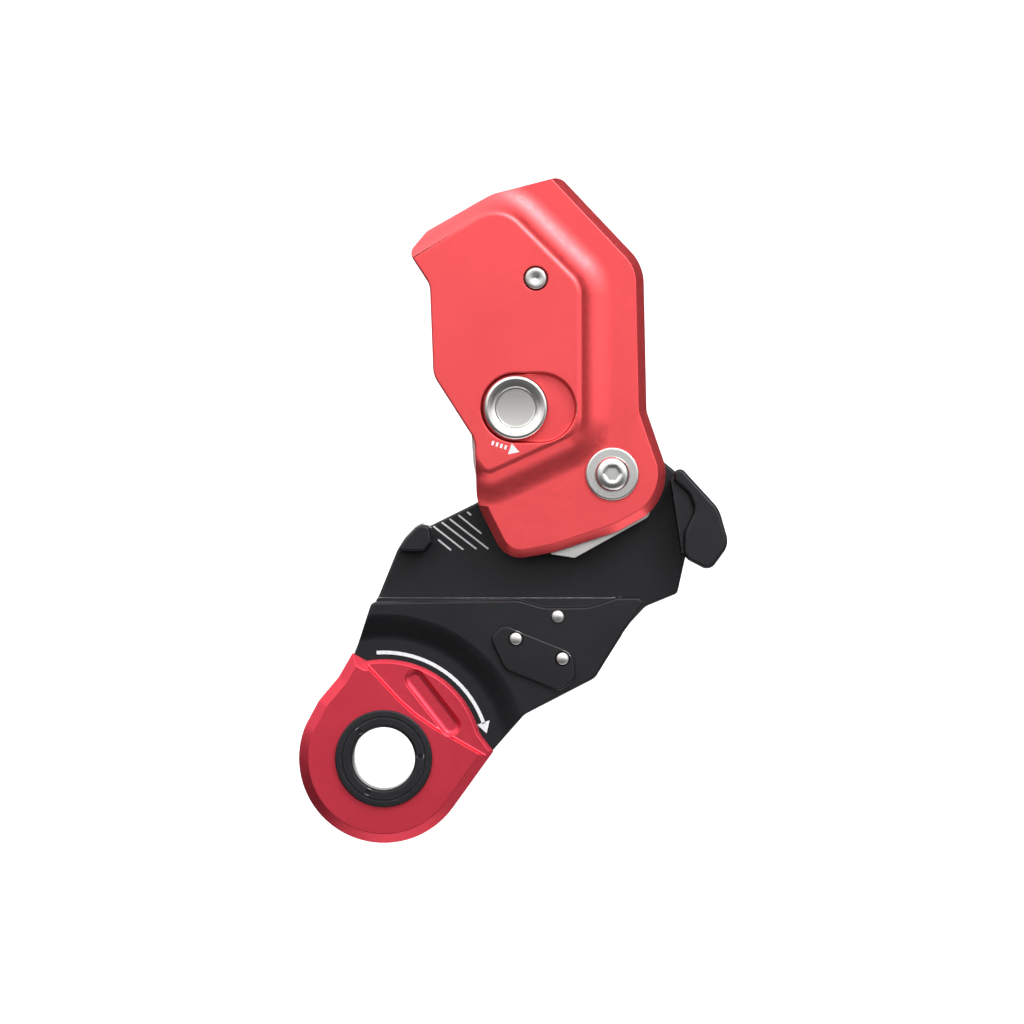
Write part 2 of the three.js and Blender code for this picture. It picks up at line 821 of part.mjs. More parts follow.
function latchSlide() {
  const { left, bottom, top, back } = LATCH_POCKET;
  const right = -18.6;
  const side = left + 2.8;
  return block([side, CAM_FRONT + GAP, bottom + GAP], [right, back - GAP, top - GAP])
    .add(rod(BUTTON, STEM_RADIUS, -5, BUTTON_RECESS.floor, SMALL_ROUND))
    .add(rod(LATCH_PIN, 2, REAR_CHEEK_FRONT - GAP, 1, SMALL_ROUND));
}

function buttonSpring() {
  return coil([-17.9, -2.1, BUTTON[1]], false, 3, 11.2, 5, 0.4, 9);
}

// ---- Assembly ----

const group = new THREE.Group();

const frame = new THREE.Group();
frame.add(mesh("rear_frame", rearFrame(), BLACK));
frame.add(mesh("front_frame", frontFrame(), BLACK));
frame.add(mesh("jaw_insert", jawInsert(), BLACK));
frame.add(mesh("jaw_rivet", rivet(JAW_RIVET, COVER_BACK), STEEL));
frame.add(mesh("cover_plate", coverPlate(), BLACK));
for (const [place, centre] of Object.entries(COVER_RIVETS)) {
  frame.add(mesh("cover_rivet_" + place, rivet(centre, COVER_FRONT - GAP), STEEL));
}
frame.add(mesh("eye_bush", eyeBush(), STEEL));
frame.add(mesh("eye_nut", eyeNut(), BLACK));
frame.add(mesh("detent_ball", detentBall(), STEEL));
frame.add(mesh("detent_spring", detentSpring(), SPRING_STEEL));
frame.add(mesh("closing_spring", closingSpring(), SPRING_STEEL));
group.add(frame);

const head = new THREE.Group();
head.add(mesh("pivot_bolt", pivotBolt(), STEEL));
head.add(mesh("pivot_washer", pivotWasher(), STEEL));
head.add(mesh("pivot_sleeve", pivotSleeve(), STEEL));
head.add(mesh("rear_washer", rearWasher(), STEEL));
head.add(mesh("pivot_nut", pivotNut(), STEEL));
head.add(mesh("front_cheek", frontCheek(), RED));
head.add(mesh("cam", cam(), STEEL));
for (const [place, centre] of Object.entries(CAM_SCREWS)) {
  head.add(mesh("cam_screw_" + place, camScrew(centre), STEEL));
}
head.add(mesh("sheave", sheave(), ALUMINIUM));
head.add(mesh("sheave_bearing", sheaveBearing(), STEEL));
head.add(mesh("sheave_axle", sheaveAxle(), STEEL));
head.add(mesh("rear_cheek", rearCheek(), RED));
head.add(mesh("release_button", releaseButton(), STEEL));
head.add(mesh("latch_slide", latchSlide(), STEEL));
head.add(mesh("button_spring", buttonSpring(), SPRING_STEEL));
group.add(head);

group.add(mesh("eye_lever", eyeLever(), DARK_RED));

export default group;
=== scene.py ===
"""The looks of a mechanical ascender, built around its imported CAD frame.

Shapes are written in millimetres, in the frame's own axes: X along the rope, Z up, the front at -Y.
"""

import math

import bmesh
import bpy
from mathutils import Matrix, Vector


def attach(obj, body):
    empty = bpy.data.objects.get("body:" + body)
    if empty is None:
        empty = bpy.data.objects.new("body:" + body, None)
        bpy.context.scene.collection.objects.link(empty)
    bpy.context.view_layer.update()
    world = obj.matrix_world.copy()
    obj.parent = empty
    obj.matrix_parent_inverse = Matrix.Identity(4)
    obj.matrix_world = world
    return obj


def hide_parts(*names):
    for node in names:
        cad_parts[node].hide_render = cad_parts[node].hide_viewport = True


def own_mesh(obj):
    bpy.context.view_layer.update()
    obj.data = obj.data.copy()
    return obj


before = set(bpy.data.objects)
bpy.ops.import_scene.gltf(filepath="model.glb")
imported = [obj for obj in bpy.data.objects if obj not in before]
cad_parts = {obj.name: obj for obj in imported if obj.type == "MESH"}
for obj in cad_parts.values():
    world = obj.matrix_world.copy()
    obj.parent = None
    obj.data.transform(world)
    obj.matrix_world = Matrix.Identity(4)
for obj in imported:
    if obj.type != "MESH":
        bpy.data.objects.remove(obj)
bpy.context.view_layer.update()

MM = 0.001

# Centres, as (x, z)
PIVOT = (0, 26)
AXLE = (-19.7, 76.2)
BUTTON = (-24.8, 43)
EYE = (-58.8, -47.2)
LATCH_PIN = (-27, 43)
JAW_RIVET = (-14, -10.7)
COVER_RIVETS = {"upper": (-24.8, -16.4), "lower": (-12.8, -21.5)}
CAM_SCREWS = {"upper": (0.5, 45.5), "lower": (-30, 24)}

# Layers along Y
REAR_CHEEK_BACK, REAR_CHEEK_FRONT = 14, 10.7
REAR_PLATE_BACK, REAR_PLATE_FRONT = 10.3, 6.3
CAM_BACK, CAM_FRONT = 5.9, -6.2
HEAD_BACK, HEAD_LOW_FRONT, HEAD_FRONT = -6.5, -10.2, -14.5
FRAME_FLOOR, FRAME_FRONT = -7.6, -9.6
LEVER_BACK, LEVER_FRONT, BLADE_FRONT = -7.9, -11, -9.7
COVER_BACK, COVER_FRONT = -9.9, -11.3
CHANNEL_FLOOR = -5.9
WEB_BACK = 6
FAR = 60

# Radii, gaps and travels
GAP = 0.3
SLEEVE_RADIUS = 5
SLEEVE_BORE = SLEEVE_RADIUS + GAP
BOLT_BORE = 3.3
RIVET_HOLE = 1.5
EYE_HOLE = 8
EYE_BORE = 11.5
EYE_END = 20.5
LEVER_DISC, LEVER_BLADE = 21.9, 25.5
RAISED_FILLET = 7.9
BUTTON_TRAVEL = 6.4
STEM_RADIUS = 1.5
LATCH_PIN_HOLE = 2.4
HOOK_HALF_WIDTH = 3.9
FACET = 4  # degrees between points on round stretches


# ---- Outlines, as lists of (x, z) ----


def on_circle(centre, radius, degrees):
    angle = math.radians(degrees)
    return (centre[0] + radius * math.cos(angle), centre[1] + radius * math.sin(angle))


def arc(centre, radius, start, end, step=FACET):
    count = max(2, math.ceil(abs(end - start) / step))
    return [on_circle(centre, radius, start + (end - start) * i / count) for i in range(count + 1)]


def circle(centre, radius, count=96):
    return [on_circle(centre, radius, 360 * i / count) for i in range(count)]


def rounded_corner(corner, before, after):
    if len(corner) < 3 or not corner[2]:
        return [corner[:2]]
    point = Vector(corner[:2])
    back = (Vector(before[:2]) - point).normalized()
    on = (Vector(after[:2]) - point).normalized()
    radius = corner[2]
    half = math.acos(max(-1, min(1, back.dot(on)))) / 2
    centre = point + (back + on).normalized() * radius / math.sin(half)
    start = point + back * radius / math.tan(half) - centre
    end = point + on * radius / math.tan(half) - centre
    turn = math.degrees(math.pi - 2 * half)
    if start.x * end.y - start.y * end.x < 0:
        turn = -turn
    first = math.degrees(math.atan2(start.y, start.x))
    return arc(centre, radius, first, first + turn, FACET)


def outline(corners):
    """A closed outline from corners (x, z) or (x, z, fillet radius)."""
    points = []
    for i, corner in enumerate(corners):
        points += rounded_corner(corner, corners[i - 1], corners[(i + 1) % len(corners)])
    return points


def slot(start, end, radius):
    along = math.degrees(math.atan2(end[1] - start[1], end[0] - start[0]))
    left = arc(start, radius, along + 90, along + 270)
    return left + arc(end, radius, along - 90, along + 90)


def offset(points, distance):
    """The outline moved outwards by distance, or inwards where it is negative."""
    count = len(points)
    area = sum(
        points[i - 1][0] * points[i][1] - points[i][0] * points[i - 1][1] for i in range(count)
    )
    side = 1 if area > 0 else -1
    moved = []
    for i in range(count):
        here = Vector(points[i])
        into = (here - Vector(points[i - 1])).normalized()
        out = (Vector(points[(i + 1) % count]) - here).normalized()
        normal_in = Vector((into.y, -into.x)) * side
        normal_out = Vector((out.y, -out.x)) * side
        shift = (normal_in + normal_out) / (1 + normal_in.dot(normal_out))
        moved.append(tuple(here + shift * distance))
    return moved


# ---- Meshes ----


def object_from(name, bm):
    bmesh.ops.remove_doubles(bm, verts=bm.verts, dist=1e-7)
    bmesh.ops.recalc_face_normals(bm, faces=bm.faces)
    mesh = bpy.data.meshes.new(name)
    bm.to_mesh(mesh)
    bm.free()
    made = bpy.data.objects.new(name, mesh)
    bpy.context.scene.collection.objects.link(made)
    return made


def loft(name, rings):
    """A solid through outlines of equal length, each at its own Y: [(points, y), ...]."""
    bm = bmesh.new()
    layers = [[bm.verts.new((x * MM, y * MM, z * MM)) for x, z in points] for points, y in rings]
    count = len(layers[0])
    for lower, upper in zip(layers, layers[1:]):
        for i in range(count):
            j = (i + 1) % count
            bm.faces.new((lower[i], lower[j], upper[j], upper[i]))
    bm.faces.new(layers[0])
    bm.faces.new(list(reversed(layers[-1])))
    return object_from(name, bm)


def plate(name, points, back, front, chamfer=0, depth=0, back_chamfer=0):
    """A plate between two Y levels, with its front and back edges chamfered."""
    rings = [(points, back)]
    if back_chamfer:
        rings = [(offset(points, -back_chamfer), back), (points, back - back_chamfer)]
    if chamfer:
        rings += [(points, front + (depth or chamfer)), (offset(points, -chamfer), front)]
    else:
        rings.append((points, front))
    return loft(name, rings)


def turned(name, centre, profile, sides=96):
    """A turned solid about an axis along Y, from its profile of (radius, y)."""
    closed = profile[0] == profile[-1]
    points = profile[:-1] if closed else profile
    bm = bmesh.new()
    rings = []
    for radius, y in points:
        if radius == 0:
            rings.append([bm.verts.new((centre[0] * MM, y * MM, centre[1] * MM))])
            continue
        spots = circle(centre, radius, sides)
        rings.append([bm.verts.new((x * MM, y * MM, z * MM)) for x, z in spots])
    pairs = list(zip(rings, rings[1:]))
    if closed:
        pairs.append((rings[-1], rings[0]))
    for lower, upper in pairs:
        for i in range(sides):
            j = (i + 1) % sides
            corners = [lower[i % len(lower)], lower[j % len(lower)]]
            corners += [upper[j % len(upper)], upper[i % len(upper)]]
            unique = list(dict.fromkeys(corners))
            if len(unique) > 2:
                bm.faces.new(unique)
    return object_from(name, bm)


def ring(name, centre, inner, outer, back, front):
    profile = [(inner, front), (outer, front), (outer, back), (inner, back), (inner, front)]
    return turned(name, centre, profile)


def rod(centre, radius, back, front, sides=64):
    return loft("tool", [(circle(centre, radius, sides), back), (circle(centre, radius, sides), front)])


def countersunk(centre, radius, front, lip=0.25, back=FAR):
    """A round cutter whose mouth at the front face is flared by lip."""
    rings = [
        (circle(centre, radius, 64), back),
        (circle(centre, radius, 64), front + lip),
        (circle(centre, radius + lip, 64), front),
        (circle(centre, radius + lip, 64), front - 5),
    ]
    return loft("tool", rings)


def bake(obj):
    depsgraph = bpy.context.evaluated_depsgraph_get()
    mesh = bpy.data.meshes.new_from_object(obj.evaluated_get(depsgraph))
    old = obj.data
    obj.modifiers.clear()
    obj.data = mesh
    bpy.data.meshes.remove(old)
    return obj


def combine(obj, other, operation):
    modifier = obj.modifiers.new(operation.lower(), "BOOLEAN")
    modifier.object = other
    modifier.operation = operation
    modifier.solver = "EXACT"
    bake(obj)
    old = other.data
    bpy.data.objects.remove(other)
    bpy.data.meshes.remove(old)
    return obj


def cut(obj, *tools):
    for tool in tools:
        combine(obj, tool, "DIFFERENCE")
    return obj


def join(obj, *others):
    for other in others:
        combine(obj, other, "UNION")
    return obj


def soften(obj, width=0.2, segments=2, angle=32):
    """Rounds the edges sharper than angle, and shades the rest smooth while flats stay flat."""
    if width:
        bevel = obj.modifiers.new("edges", "BEVEL")
        bevel.width = width * MM
        bevel.segments = segments
        bevel.limit_method = "ANGLE"
        bevel.angle_limit = math.radians(angle)
        bevel.use_clamp_overlap = False
        bevel.miter_outer = "MITER_ARC"
        bake(obj)
    for polygon in obj.data.polygons:
        polygon.use_smooth = True
    obj.data.set_sharp_from_angle(angle=math.radians(angle + 4))
    normals = obj.modifiers.new("normals", "WEIGHTED_NORMAL")
    normals.weight = 90
    normals.keep_sharp = True
    return bake(obj)


# ---- Materials ----


def new_material(name):
    material = bpy.data.materials.new(name)
    material.use_nodes = True
    return material, material.node_tree, material.node_tree.nodes["Principled BSDF"]


def add_node(tree, kind, **inputs):
    node = tree.nodes.new(kind)
    for key, value in inputs.items():
        node.inputs[key.replace("_", " ")].default_value = value
    return node


def object_coordinates(tree):
    return tree.nodes.new("ShaderNodeTexCoord").outputs["Object"]


def colour_ramp(tree, factor, stops):
    ramp = tree.nodes.new("ShaderNodeValToRGB")
    elements = ramp.color_ramp.elements
    elements[0].position, elements[0].color = stops[0][0], (*stops[0][1], 1)
    elements[1].position, elements[1].color = stops[-1][0], (*stops[-1][1], 1)
    for position, colour in stops[1:-1]:
        elements.new(position).color = (*colour, 1)
    tree.links.new(factor, ramp.inputs["Fac"])
    return ramp.outputs["Color"]


def level_ramp(tree, factor, stops):
    """A grey ramp through (position, level) stops."""
    return colour_ramp(tree, factor, [(position, (level, level, level)) for position, level in stops])


def mixed(tree, factor, first, second):
    """Mixes two colours by factor, where the second may be a plain colour."""
    mix = tree.nodes.new("ShaderNodeMix")
    mix.data_type = "RGBA"
    tree.links.new(factor, mix.inputs["Factor"])
    tree.links.new(first, mix.inputs[6])
    if isinstance(second, tuple):
        mix.inputs[7].default_value = (*second, 1)
    else:
        tree.links.new(second, mix.inputs[7])
    return mix.outputs[2]


def noise(tree, scale, detail=4, stretch=None):
    source = object_coordinates(tree)
    if stretch:
        mapping = tree.nodes.new("ShaderNodeMapping")
        mapping.inputs["Scale"].default_value = stretch
        tree.links.new(source, mapping.inputs["Vector"])
        source = mapping.outputs["Vector"]
    texture = add_node(tree, "ShaderNodeTexNoise", Scale=scale, Detail=detail)
    tree.links.new(source, texture.inputs["Vector"])
    return texture.outputs["Fac"]


def spread(tree, factor, low, high):
    """Maps a noise, which lies mostly between 0.3 and 0.7, onto low to high."""
    mapped = add_node(tree, "ShaderNodeMapRange")
    for key, value in (("From Min", 0.3), ("From Max", 0.7), ("To Min", low), ("To Max", high)):
        mapped.inputs[key].default_value = value
    tree.links.new(factor, mapped.inputs["Value"])
    return mapped.outputs["Result"]


def bump(tree, shader, height, strength, distance):
    node = add_node(tree, "ShaderNodeBump", Strength=strength, Distance=distance)
    tree.links.new(height, node.inputs["Height"])
    tree.links.new(node.outputs["Normal"], shader.inputs["Normal"])


def edge_wear_and_highlight(tree, reach, patchiness=400):
    """Up to 1 on outward edges, where a ray into the solid soon leaves it, and 0 on flats: a mask for wear
    that also paints the highlight of edges catching the light.
    """
    inside = add_node(tree, "ShaderNodeAmbientOcclusion", Distance=reach * MM)
    inside.inside = True
    inside.only_local = True
    inside.samples = 8
    edges = level_ramp(tree, inside.outputs["AO"], [(0.35, 1), (0.72, 0)])
    patches = spread(tree, noise(tree, patchiness, 5), 0.35, 1)
    amount = add_node(tree, "ShaderNodeMath")
    amount.operation = "MULTIPLY"
    tree.links.new(edges, amount.inputs[0])
    tree.links.new(patches, amount.inputs[1])
    return amount.outputs["Value"]


def anodised(name, dark, light, roughness, metallic, wear_and_highlight, reach):
    """Blasted and anodised aluminium: fine grain, slow colour drift, and lighter edges that are partly wear
    and partly a painted highlight.
    """
    material, tree, shader = new_material(name)
    drift = colour_ramp(tree, noise(tree, 35, 3), [(0.3, dark), (0.7, light)])
    # The lighter edge colour is partly wear and partly a painted highlight, where real edges would catch the
    # light.
    tree.links.new(mixed(tree, edge_wear_and_highlight(tree, reach), drift, wear_and_highlight), shader.inputs["Base Color"])
    shader.inputs["Metallic"].default_value = metallic
    cloud = spread(tree, noise(tree, 900, 4), roughness - 0.04, roughness + 0.05)
    tree.links.new(cloud, shader.inputs["Roughness"])
    bump(tree, shader, noise(tree, 6500, 2), 0.3, 0.00004)
    return material


def metal(name, dark, light, roughness, stretch, scale, strength=0.12):
    """Bare metal with fine machining or polishing lines."""
    material, tree, shader = new_material(name)
    lines = noise(tree, scale, 5, stretch)
    colour = colour_ramp(tree, noise(tree, 60, 3), [(0.3, dark), (0.7, light)])
    tree.links.new(colour, shader.inputs["Base Color"])
    shader.inputs["Metallic"].default_value = 1
    tree.links.new(spread(tree, lines, roughness - 0.05, roughness + 0.07), shader.inputs["Roughness"])
    bump(tree, shader, lines, strength, 0.00002)
    return material


def turned_metal(name, centre, dark, light, roughness, pitch=0.00025):
    """Metal with the fine rings that a lathe leaves about an axis along Y."""
    material, tree, shader = new_material(name)
    mapping = tree.nodes.new("ShaderNodeMapping")
    mapping.inputs["Location"].default_value = (-centre[0] * MM, 0, -centre[1] * MM)
    tree.links.new(object_coordinates(tree), mapping.inputs["Vector"])
    flat = tree.nodes.new("ShaderNodeVectorMath")
    flat.operation = "MULTIPLY"
    flat.inputs[1].default_value = (1, 0, 1)
    tree.links.new(mapping.outputs["Vector"], flat.inputs[0])
    length = tree.nodes.new("ShaderNodeVectorMath")
    length.operation = "LENGTH"
    tree.links.new(flat.outputs["Vector"], length.inputs[0])
    rings = add_node(tree, "ShaderNodeTexNoise", Scale=1 / pitch, Detail=3)
    rings.noise_dimensions = "1D"
    tree.links.new(length.outputs["Value"], rings.inputs["W"])
    colour = colour_ramp(tree, noise(tree, 80, 3), [(0.3, dark), (0.7, light)])
    tree.links.new(colour, shader.inputs["Base Color"])
    shader.inputs["Metallic"].default_value = 1
    fac = rings.outputs["Fac"]
    tree.links.new(spread(tree, fac, roughness - 0.04, roughness + 0.08), shader.inputs["Roughness"])
    bump(tree, shader, fac, 0.15, 0.00002)
    return material


def ink(name, colour):
    material, tree, shader = new_material(name)
    worn = colour_ramp(tree, noise(tree, 1500, 4), [(0.3, tuple(c * 0.86 for c in colour)), (0.6, colour)])
    tree.links.new(worn, shader.inputs["Base Color"])
    shader.inputs["Roughness"].default_value = 0.5
    return material


def backdrop_material():
    material, tree, shader = new_material("backdrop")
    tone = colour_ramp(tree, noise(tree, 1.5, 2), [(0.3, (0.86, 0.86, 0.87)), (0.7, (0.88, 0.88, 0.89))])
    tree.links.new(tone, shader.inputs["Base Color"])
    tree.links.new(tone, shader.inputs["Emission Color"])
    shader.inputs["Emission Strength"].default_value = 0.3
    shader.inputs["Roughness"].default_value = 0.9
    return material


RED = anodised(
    "red_anodised",
    dark=(0.8, 0.082, 0.09),
    light=(0.86, 0.092, 0.1),
    roughness=0.36,
    metallic=0.8,
    # the light pink on the edges is partly wear and partly a painted highlight of edges catching the light
    wear_and_highlight=(0.95, 0.4, 0.36),
    reach=0.25,
)
DEEP_RED = anodised(
    "deep_red_anodised",
    dark=(0.56, 0.036, 0.06),
    light=(0.63, 0.042, 0.07),
    roughness=0.36,
    metallic=0.8,
    # the light pink on the edges is partly wear and partly a painted highlight of edges catching the light
    wear_and_highlight=(0.95, 0.36, 0.34),
    reach=0.25,
)
BLACK = anodised(
    "black_anodised",
    dark=(0.013, 0.013, 0.0155),
    light=(0.02, 0.02, 0.023),
    roughness=0.38,
    metallic=0.6,
    # the light grey on the edges is partly wear and partly a painted highlight of edges catching the light
    wear_and_highlight=(0.6, 0.6, 0.61),
    reach=0.42,
)
BLACK_STEEL = metal("black_steel", (0.03, 0.03, 0.032), (0.05, 0.05, 0.052), 0.4, (60, 4, 60), 20)
STEEL = metal("satin_steel", (0.5, 0.495, 0.48), (0.6, 0.595, 0.58), 0.38, (4, 60, 60), 25)
ALUMINIUM = turned_metal("turned_aluminium", AXLE, (0.62, 0.63, 0.65), (0.7, 0.71, 0.73), 0.28)
POLISHED = turned_metal("polished_button", BUTTON, (0.56, 0.55, 0.53), (0.63, 0.62, 0.6), 0.12)
BOLT_STEEL = turned_metal("turned_bolt", PIVOT, (0.55, 0.545, 0.53), (0.62, 0.615, 0.6), 0.24)
EYE_STEEL = turned_metal("turned_eye", EYE, (0.55, 0.545, 0.53), (0.62, 0.615, 0.6), 0.22)
WIRE = metal("spring_wire", (0.33, 0.33, 0.34), (0.42, 0.42, 0.43), 0.3, (30, 30, 30), 40)
WHITE_INK = ink("white_print", (0.72, 0.73, 0.75))


def piece(obj, body, material, slot_name, *nodes):
    """Dresses a piece, rides it on its body and lets it stand for its CAD nodes."""
    obj.data.materials.clear()
    obj.data.materials.append(material)
    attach(obj, body)
    if nodes:
        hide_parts(*nodes)
    return obj


# ---- Frame ----

# The lower edge and the eye end, shared by both plates.
LOWER_CORNERS = [
    (2.6, -15.2, 10),
    (-4.4, -26.6, 4),
    (-22.6, -36, 5),
    (-31, -45.6, 1),
    *arc(EYE, EYE_END, -39, -210),
    (-66.4, -20.5, 3),
]


def rivet_holes():
    return [rod(spot, RIVET_HOLE, FAR, -FAR) for spot in (JAW_RIVET, *COVER_RIVETS.values())]


def rear_frame():
    plate_points = outline([
        (-62.4, -9.4, 1),
        (-60.4, -5.4, 1.2),
        (-55.6, 6.4, 1),
        (-50.6, 12.9, 2.5),
        (-47, 12.7, 1),
        (-35.1, 18.6, 4),
        (-9, 37.4, 8),
        (5, 38.4, 9),
        (13.5, 29.4, 3),
        (17.9, 25.8, 1.5),
        (19.6, 5.7, 2),
        (17.2, -5, 1.5),
        (8.9, -8.4, 4),
        *LOWER_CORNERS,
    ])
    nose = outline([
        (-55.8, 5.8, 1),
        (-53.4, 9.6, 4),
        (-49.8, 13.4, 3),
        (-47, 12.6, 1.5),
        (-46.2, 8.6, 2.5),
        (-48.4, 5.8, 1.5),
    ])
    horn = outline([
        (15.9, 26.4, 1.2),
        (17.6, 27.9, 1.6),
        (27.6, 17, 9),
        (30.2, 7.8, 5),
        (25.2, 0.9, 2.6),
        (18.4, 4.4, 3.2),
        (18.5, 11, 5),
        (21.3, 16.8, 3.5),
        (19.8, 20.8, 3),
        (16, 24.2, 1.2),
    ])
    wall = outline([
        (15.2, 24.4, 0.5),
        (17.3, 26.6, 1),
        (20.2, 22.4, 1),
        (21.4, 16.4, 2),
        (21.8, 5.8),
        (18, 5.8),
    ])
    body = plate("rear_frame_plate", plate_points, REAR_PLATE_BACK, REAR_PLATE_FRONT, 0.5, 0, 0.5)
    join(
        body,
        loft("nose", [
            (nose, REAR_PLATE_FRONT + 1),
            (nose, -7.3),
            (offset(nose, -0.35), -7.9),
            (offset(nose, -0.9), -8.2),
        ]),
        plate("wall", wall, REAR_PLATE_FRONT + 1, -6.9),
        loft("horn", [
            (offset(horn, -0.5), -5.9),
            (horn, -6.4),
            (horn, -8.3),
            (offset(horn, -0.35), -8.9),
            (offset(horn, -0.9), -9.2),
        ]),
    )
    cut(
        body,
        rod(PIVOT, SLEEVE_BORE, FAR, 0),
        rod(EYE, EYE_BORE, FAR, 0),
        *rivet_holes(),
    )
    soften(body, 0.18)
    return piece(body, "frame", BLACK, "black_anodised", "rear_frame")


def front_frame():
    front = outline([
        (-62, -7, 1.6),
        (-24, -6.4, 6),
        (-17.5, -8.3, 8),
        (-6, -8.2, 10),
        (1.2, -5.8, 4),
        (9.4, -5.8, 1.5),
        *LOWER_CORNERS,
    ])
    web = outline([(-60.6, CHANNEL_FLOOR, 0.8), (5.6, CHANNEL_FLOOR, 0.8), *LOWER_CORNERS])
    body = plate("front_frame_plate", front, -5.7, FRAME_FRONT, 0.5)
    join(body, plate("web", web, WEB_BACK, -6.7))
    dish = turned("tool", EYE, [
        (0, FRAME_FLOOR),
        (30.4, FRAME_FLOOR),
        (31.4, FRAME_FLOOR - 0.08),
        (32.4, FRAME_FLOOR - 0.35),
        (34.6, FRAME_FLOOR - 1.35),
        (35.6, FRAME_FLOOR - 1.75),
        (36.9, FRAME_FLOOR - 1.98),
        (38.4, FRAME_FLOOR - 2.05),
        (60, -FAR),
        (0, -FAR),
    ], 180)
    pocket = plate("tool", outline([(-24.3, 20), (-1.7, 20), (-1.7, -13.3, 1), (-24.3, -13.3, 1)]), FAR, -5.7)
    cut(
        body,
        dish,
        pocket,
        rod(EYE, EYE_BORE, FAR, -FAR, 96),
        *rivet_holes(),
    )
    soften(body, 0.18)
    return piece(body, "frame", BLACK, "black_anodised", "front_frame")


def teeth(start, end, count, depth):
    """Saw teeth along a straight line, ends included."""
    points = []
    for i in range(2 * count + 1):
        t = i / (2 * count)
        rise = depth if i % 2 else 0
        points.append((start[0] + (end[0] - start[0]) * t, start[1] + (end[1] - start[1]) * t + rise))
    return points


def jaw_insert():
    top = CHANNEL_FLOOR - 0.8
    points = teeth((-24, top), (-2, top), 14, 0.8) + [(-2, -13), (-24, -13)]
    body = cut(plate("jaw_serrated", points, 5.7, -5.4), rod(JAW_RIVET, RIVET_HOLE, FAR, -FAR))
    soften(body, 0.08, 2, 40)
    return piece(body, "frame", BLACK_STEEL, "black_steel", "jaw_insert")


def rivet(name, centre, back, node):
    """A rivet with a low domed head on the front and a set head on the rear plate."""
    head, shank, rim, rise = 1.62, 1.2, 0.22, 0.62
    tail_radius, tail_rise = 2.2, 0.9
    rear = REAR_PLATE_BACK + GAP
    profile = [(0, back - 0.86)]
    for a in range(15, 91, 15):
        sine, cosine = math.sin(math.radians(a)), math.cos(math.radians(a))
        profile.append((head * sine, back - rim - rise * cosine))
    profile += [(head, back), (shank, back), (shank, rear)]
    for a in range(0, 90, 15):
        sine, cosine = math.sin(math.radians(a)), math.cos(math.radians(a))
        profile.append((tail_radius * cosine, rear + tail_rise * sine))
    profile.append((0, rear + tail_rise))
    body = soften(turned(name, centre, profile, 48), 0.04)
    return piece(body, "frame", STEEL, "steel", node)


def cover_plate():
    points = outline([
        (-31.4, -16.4, 2),
        (-28.2, -12.6, 3),
        (-20.6, -15.8, 3),
        (-10, -20, 4),
        (-9.4, -27.2, 3.5),
        (-13.6, -30, 2.5),
        (-27.6, -24.4, 4),
    ])
    body = loft("cover_shell", [
        (points, COVER_BACK),
        (points, COVER_FRONT + 0.5),
        (offset(points, -0.15), COVER_FRONT + 0.2),
        (offset(points, -0.5), COVER_FRONT),
    ])
    cut(body, *[countersunk(spot, 1.75, COVER_FRONT, 0.2) for spot in COVER_RIVETS.values()])
    soften(body, 0.07)
    return piece(body, "frame", BLACK, "black_anodised", "cover_plate")


# ---- Anchor eye ----

NUT_BACK = LEVER_FRONT - GAP
NUT_FRONT = NUT_BACK - 1.4


def quarter(radius_from, y_from, radius_to, y_to, radius_first, steps=6):
    """Points of a quarter ellipse between two profile points, without the first one.

    It sets off across the axis where radius_first is true, and along the axis otherwise.
    """
    points = []
    for i in range(1, steps + 1):
        a = math.pi / 2 * i / steps
        across, along = math.sin(a), 1 - math.cos(a)
        if not radius_first:
            across, along = along, across
        points.append((radius_from + (radius_to - radius_from) * across, y_from + (y_to - y_from) * along))
    return points


def eye_bush():
    flange_front, flange_back = REAR_PLATE_BACK + GAP, 12.4
    profile = [(EYE_HOLE, -2), (10, -2), (10, LEVER_FRONT + 0.2), (11.2, LEVER_FRONT + 0.2)]
    profile += [(11.2, flange_front), (13.8, flange_front), (14, flange_front + 0.2)]
    profile += [(14, flange_back - 0.4), (13.6, flange_back), (10.2, flange_back)]
    profile += quarter(10.2, flange_back, EYE_HOLE, flange_back - 2.2, True)
    profile.append((EYE_HOLE, -2))
    body = soften(turned("eye_bush_turned", EYE, profile, 128), 0.1)
    return piece(body, "frame", EYE_STEEL, "steel", "eye_bush")


def eye_nut():
    groove = (10.45, 10.95)
    profile = [(EYE_HOLE, -2.3), (EYE_HOLE, NUT_FRONT + 1.5)]
    profile += quarter(EYE_HOLE, NUT_FRONT + 1.5, EYE_HOLE + 0.75, NUT_FRONT, False)
    profile += [(groove[0] - 0.12, NUT_FRONT), (groove[0], NUT_FRONT + 0.12), (groove[0], NUT_FRONT + 0.5)]
    profile += [(groove[1], NUT_FRONT + 0.5), (groove[1], NUT_FRONT + 0.12), (groove[1] + 0.12, NUT_FRONT)]
    profile += [(12.1, NUT_FRONT)]
    profile += quarter(12.1, NUT_FRONT, 12.5, NUT_FRONT + 0.4, True, 4)
    profile += [(12.5, NUT_BACK), (9.7, NUT_BACK), (9.7, -2.3), (EYE_HOLE, -2.3)]
    body = turned("eye_nut_turned", EYE, profile, 128)
    cut(body, *[
        countersunk(on_circle(EYE, 9.45, angle), 0.7, NUT_FRONT, 0.12, NUT_FRONT + 1)
        for angle in (132, 3, 245)
    ])
    soften(body, 0)
    return piece(body, "frame", BLACK, "black_anodised", "eye_nut")


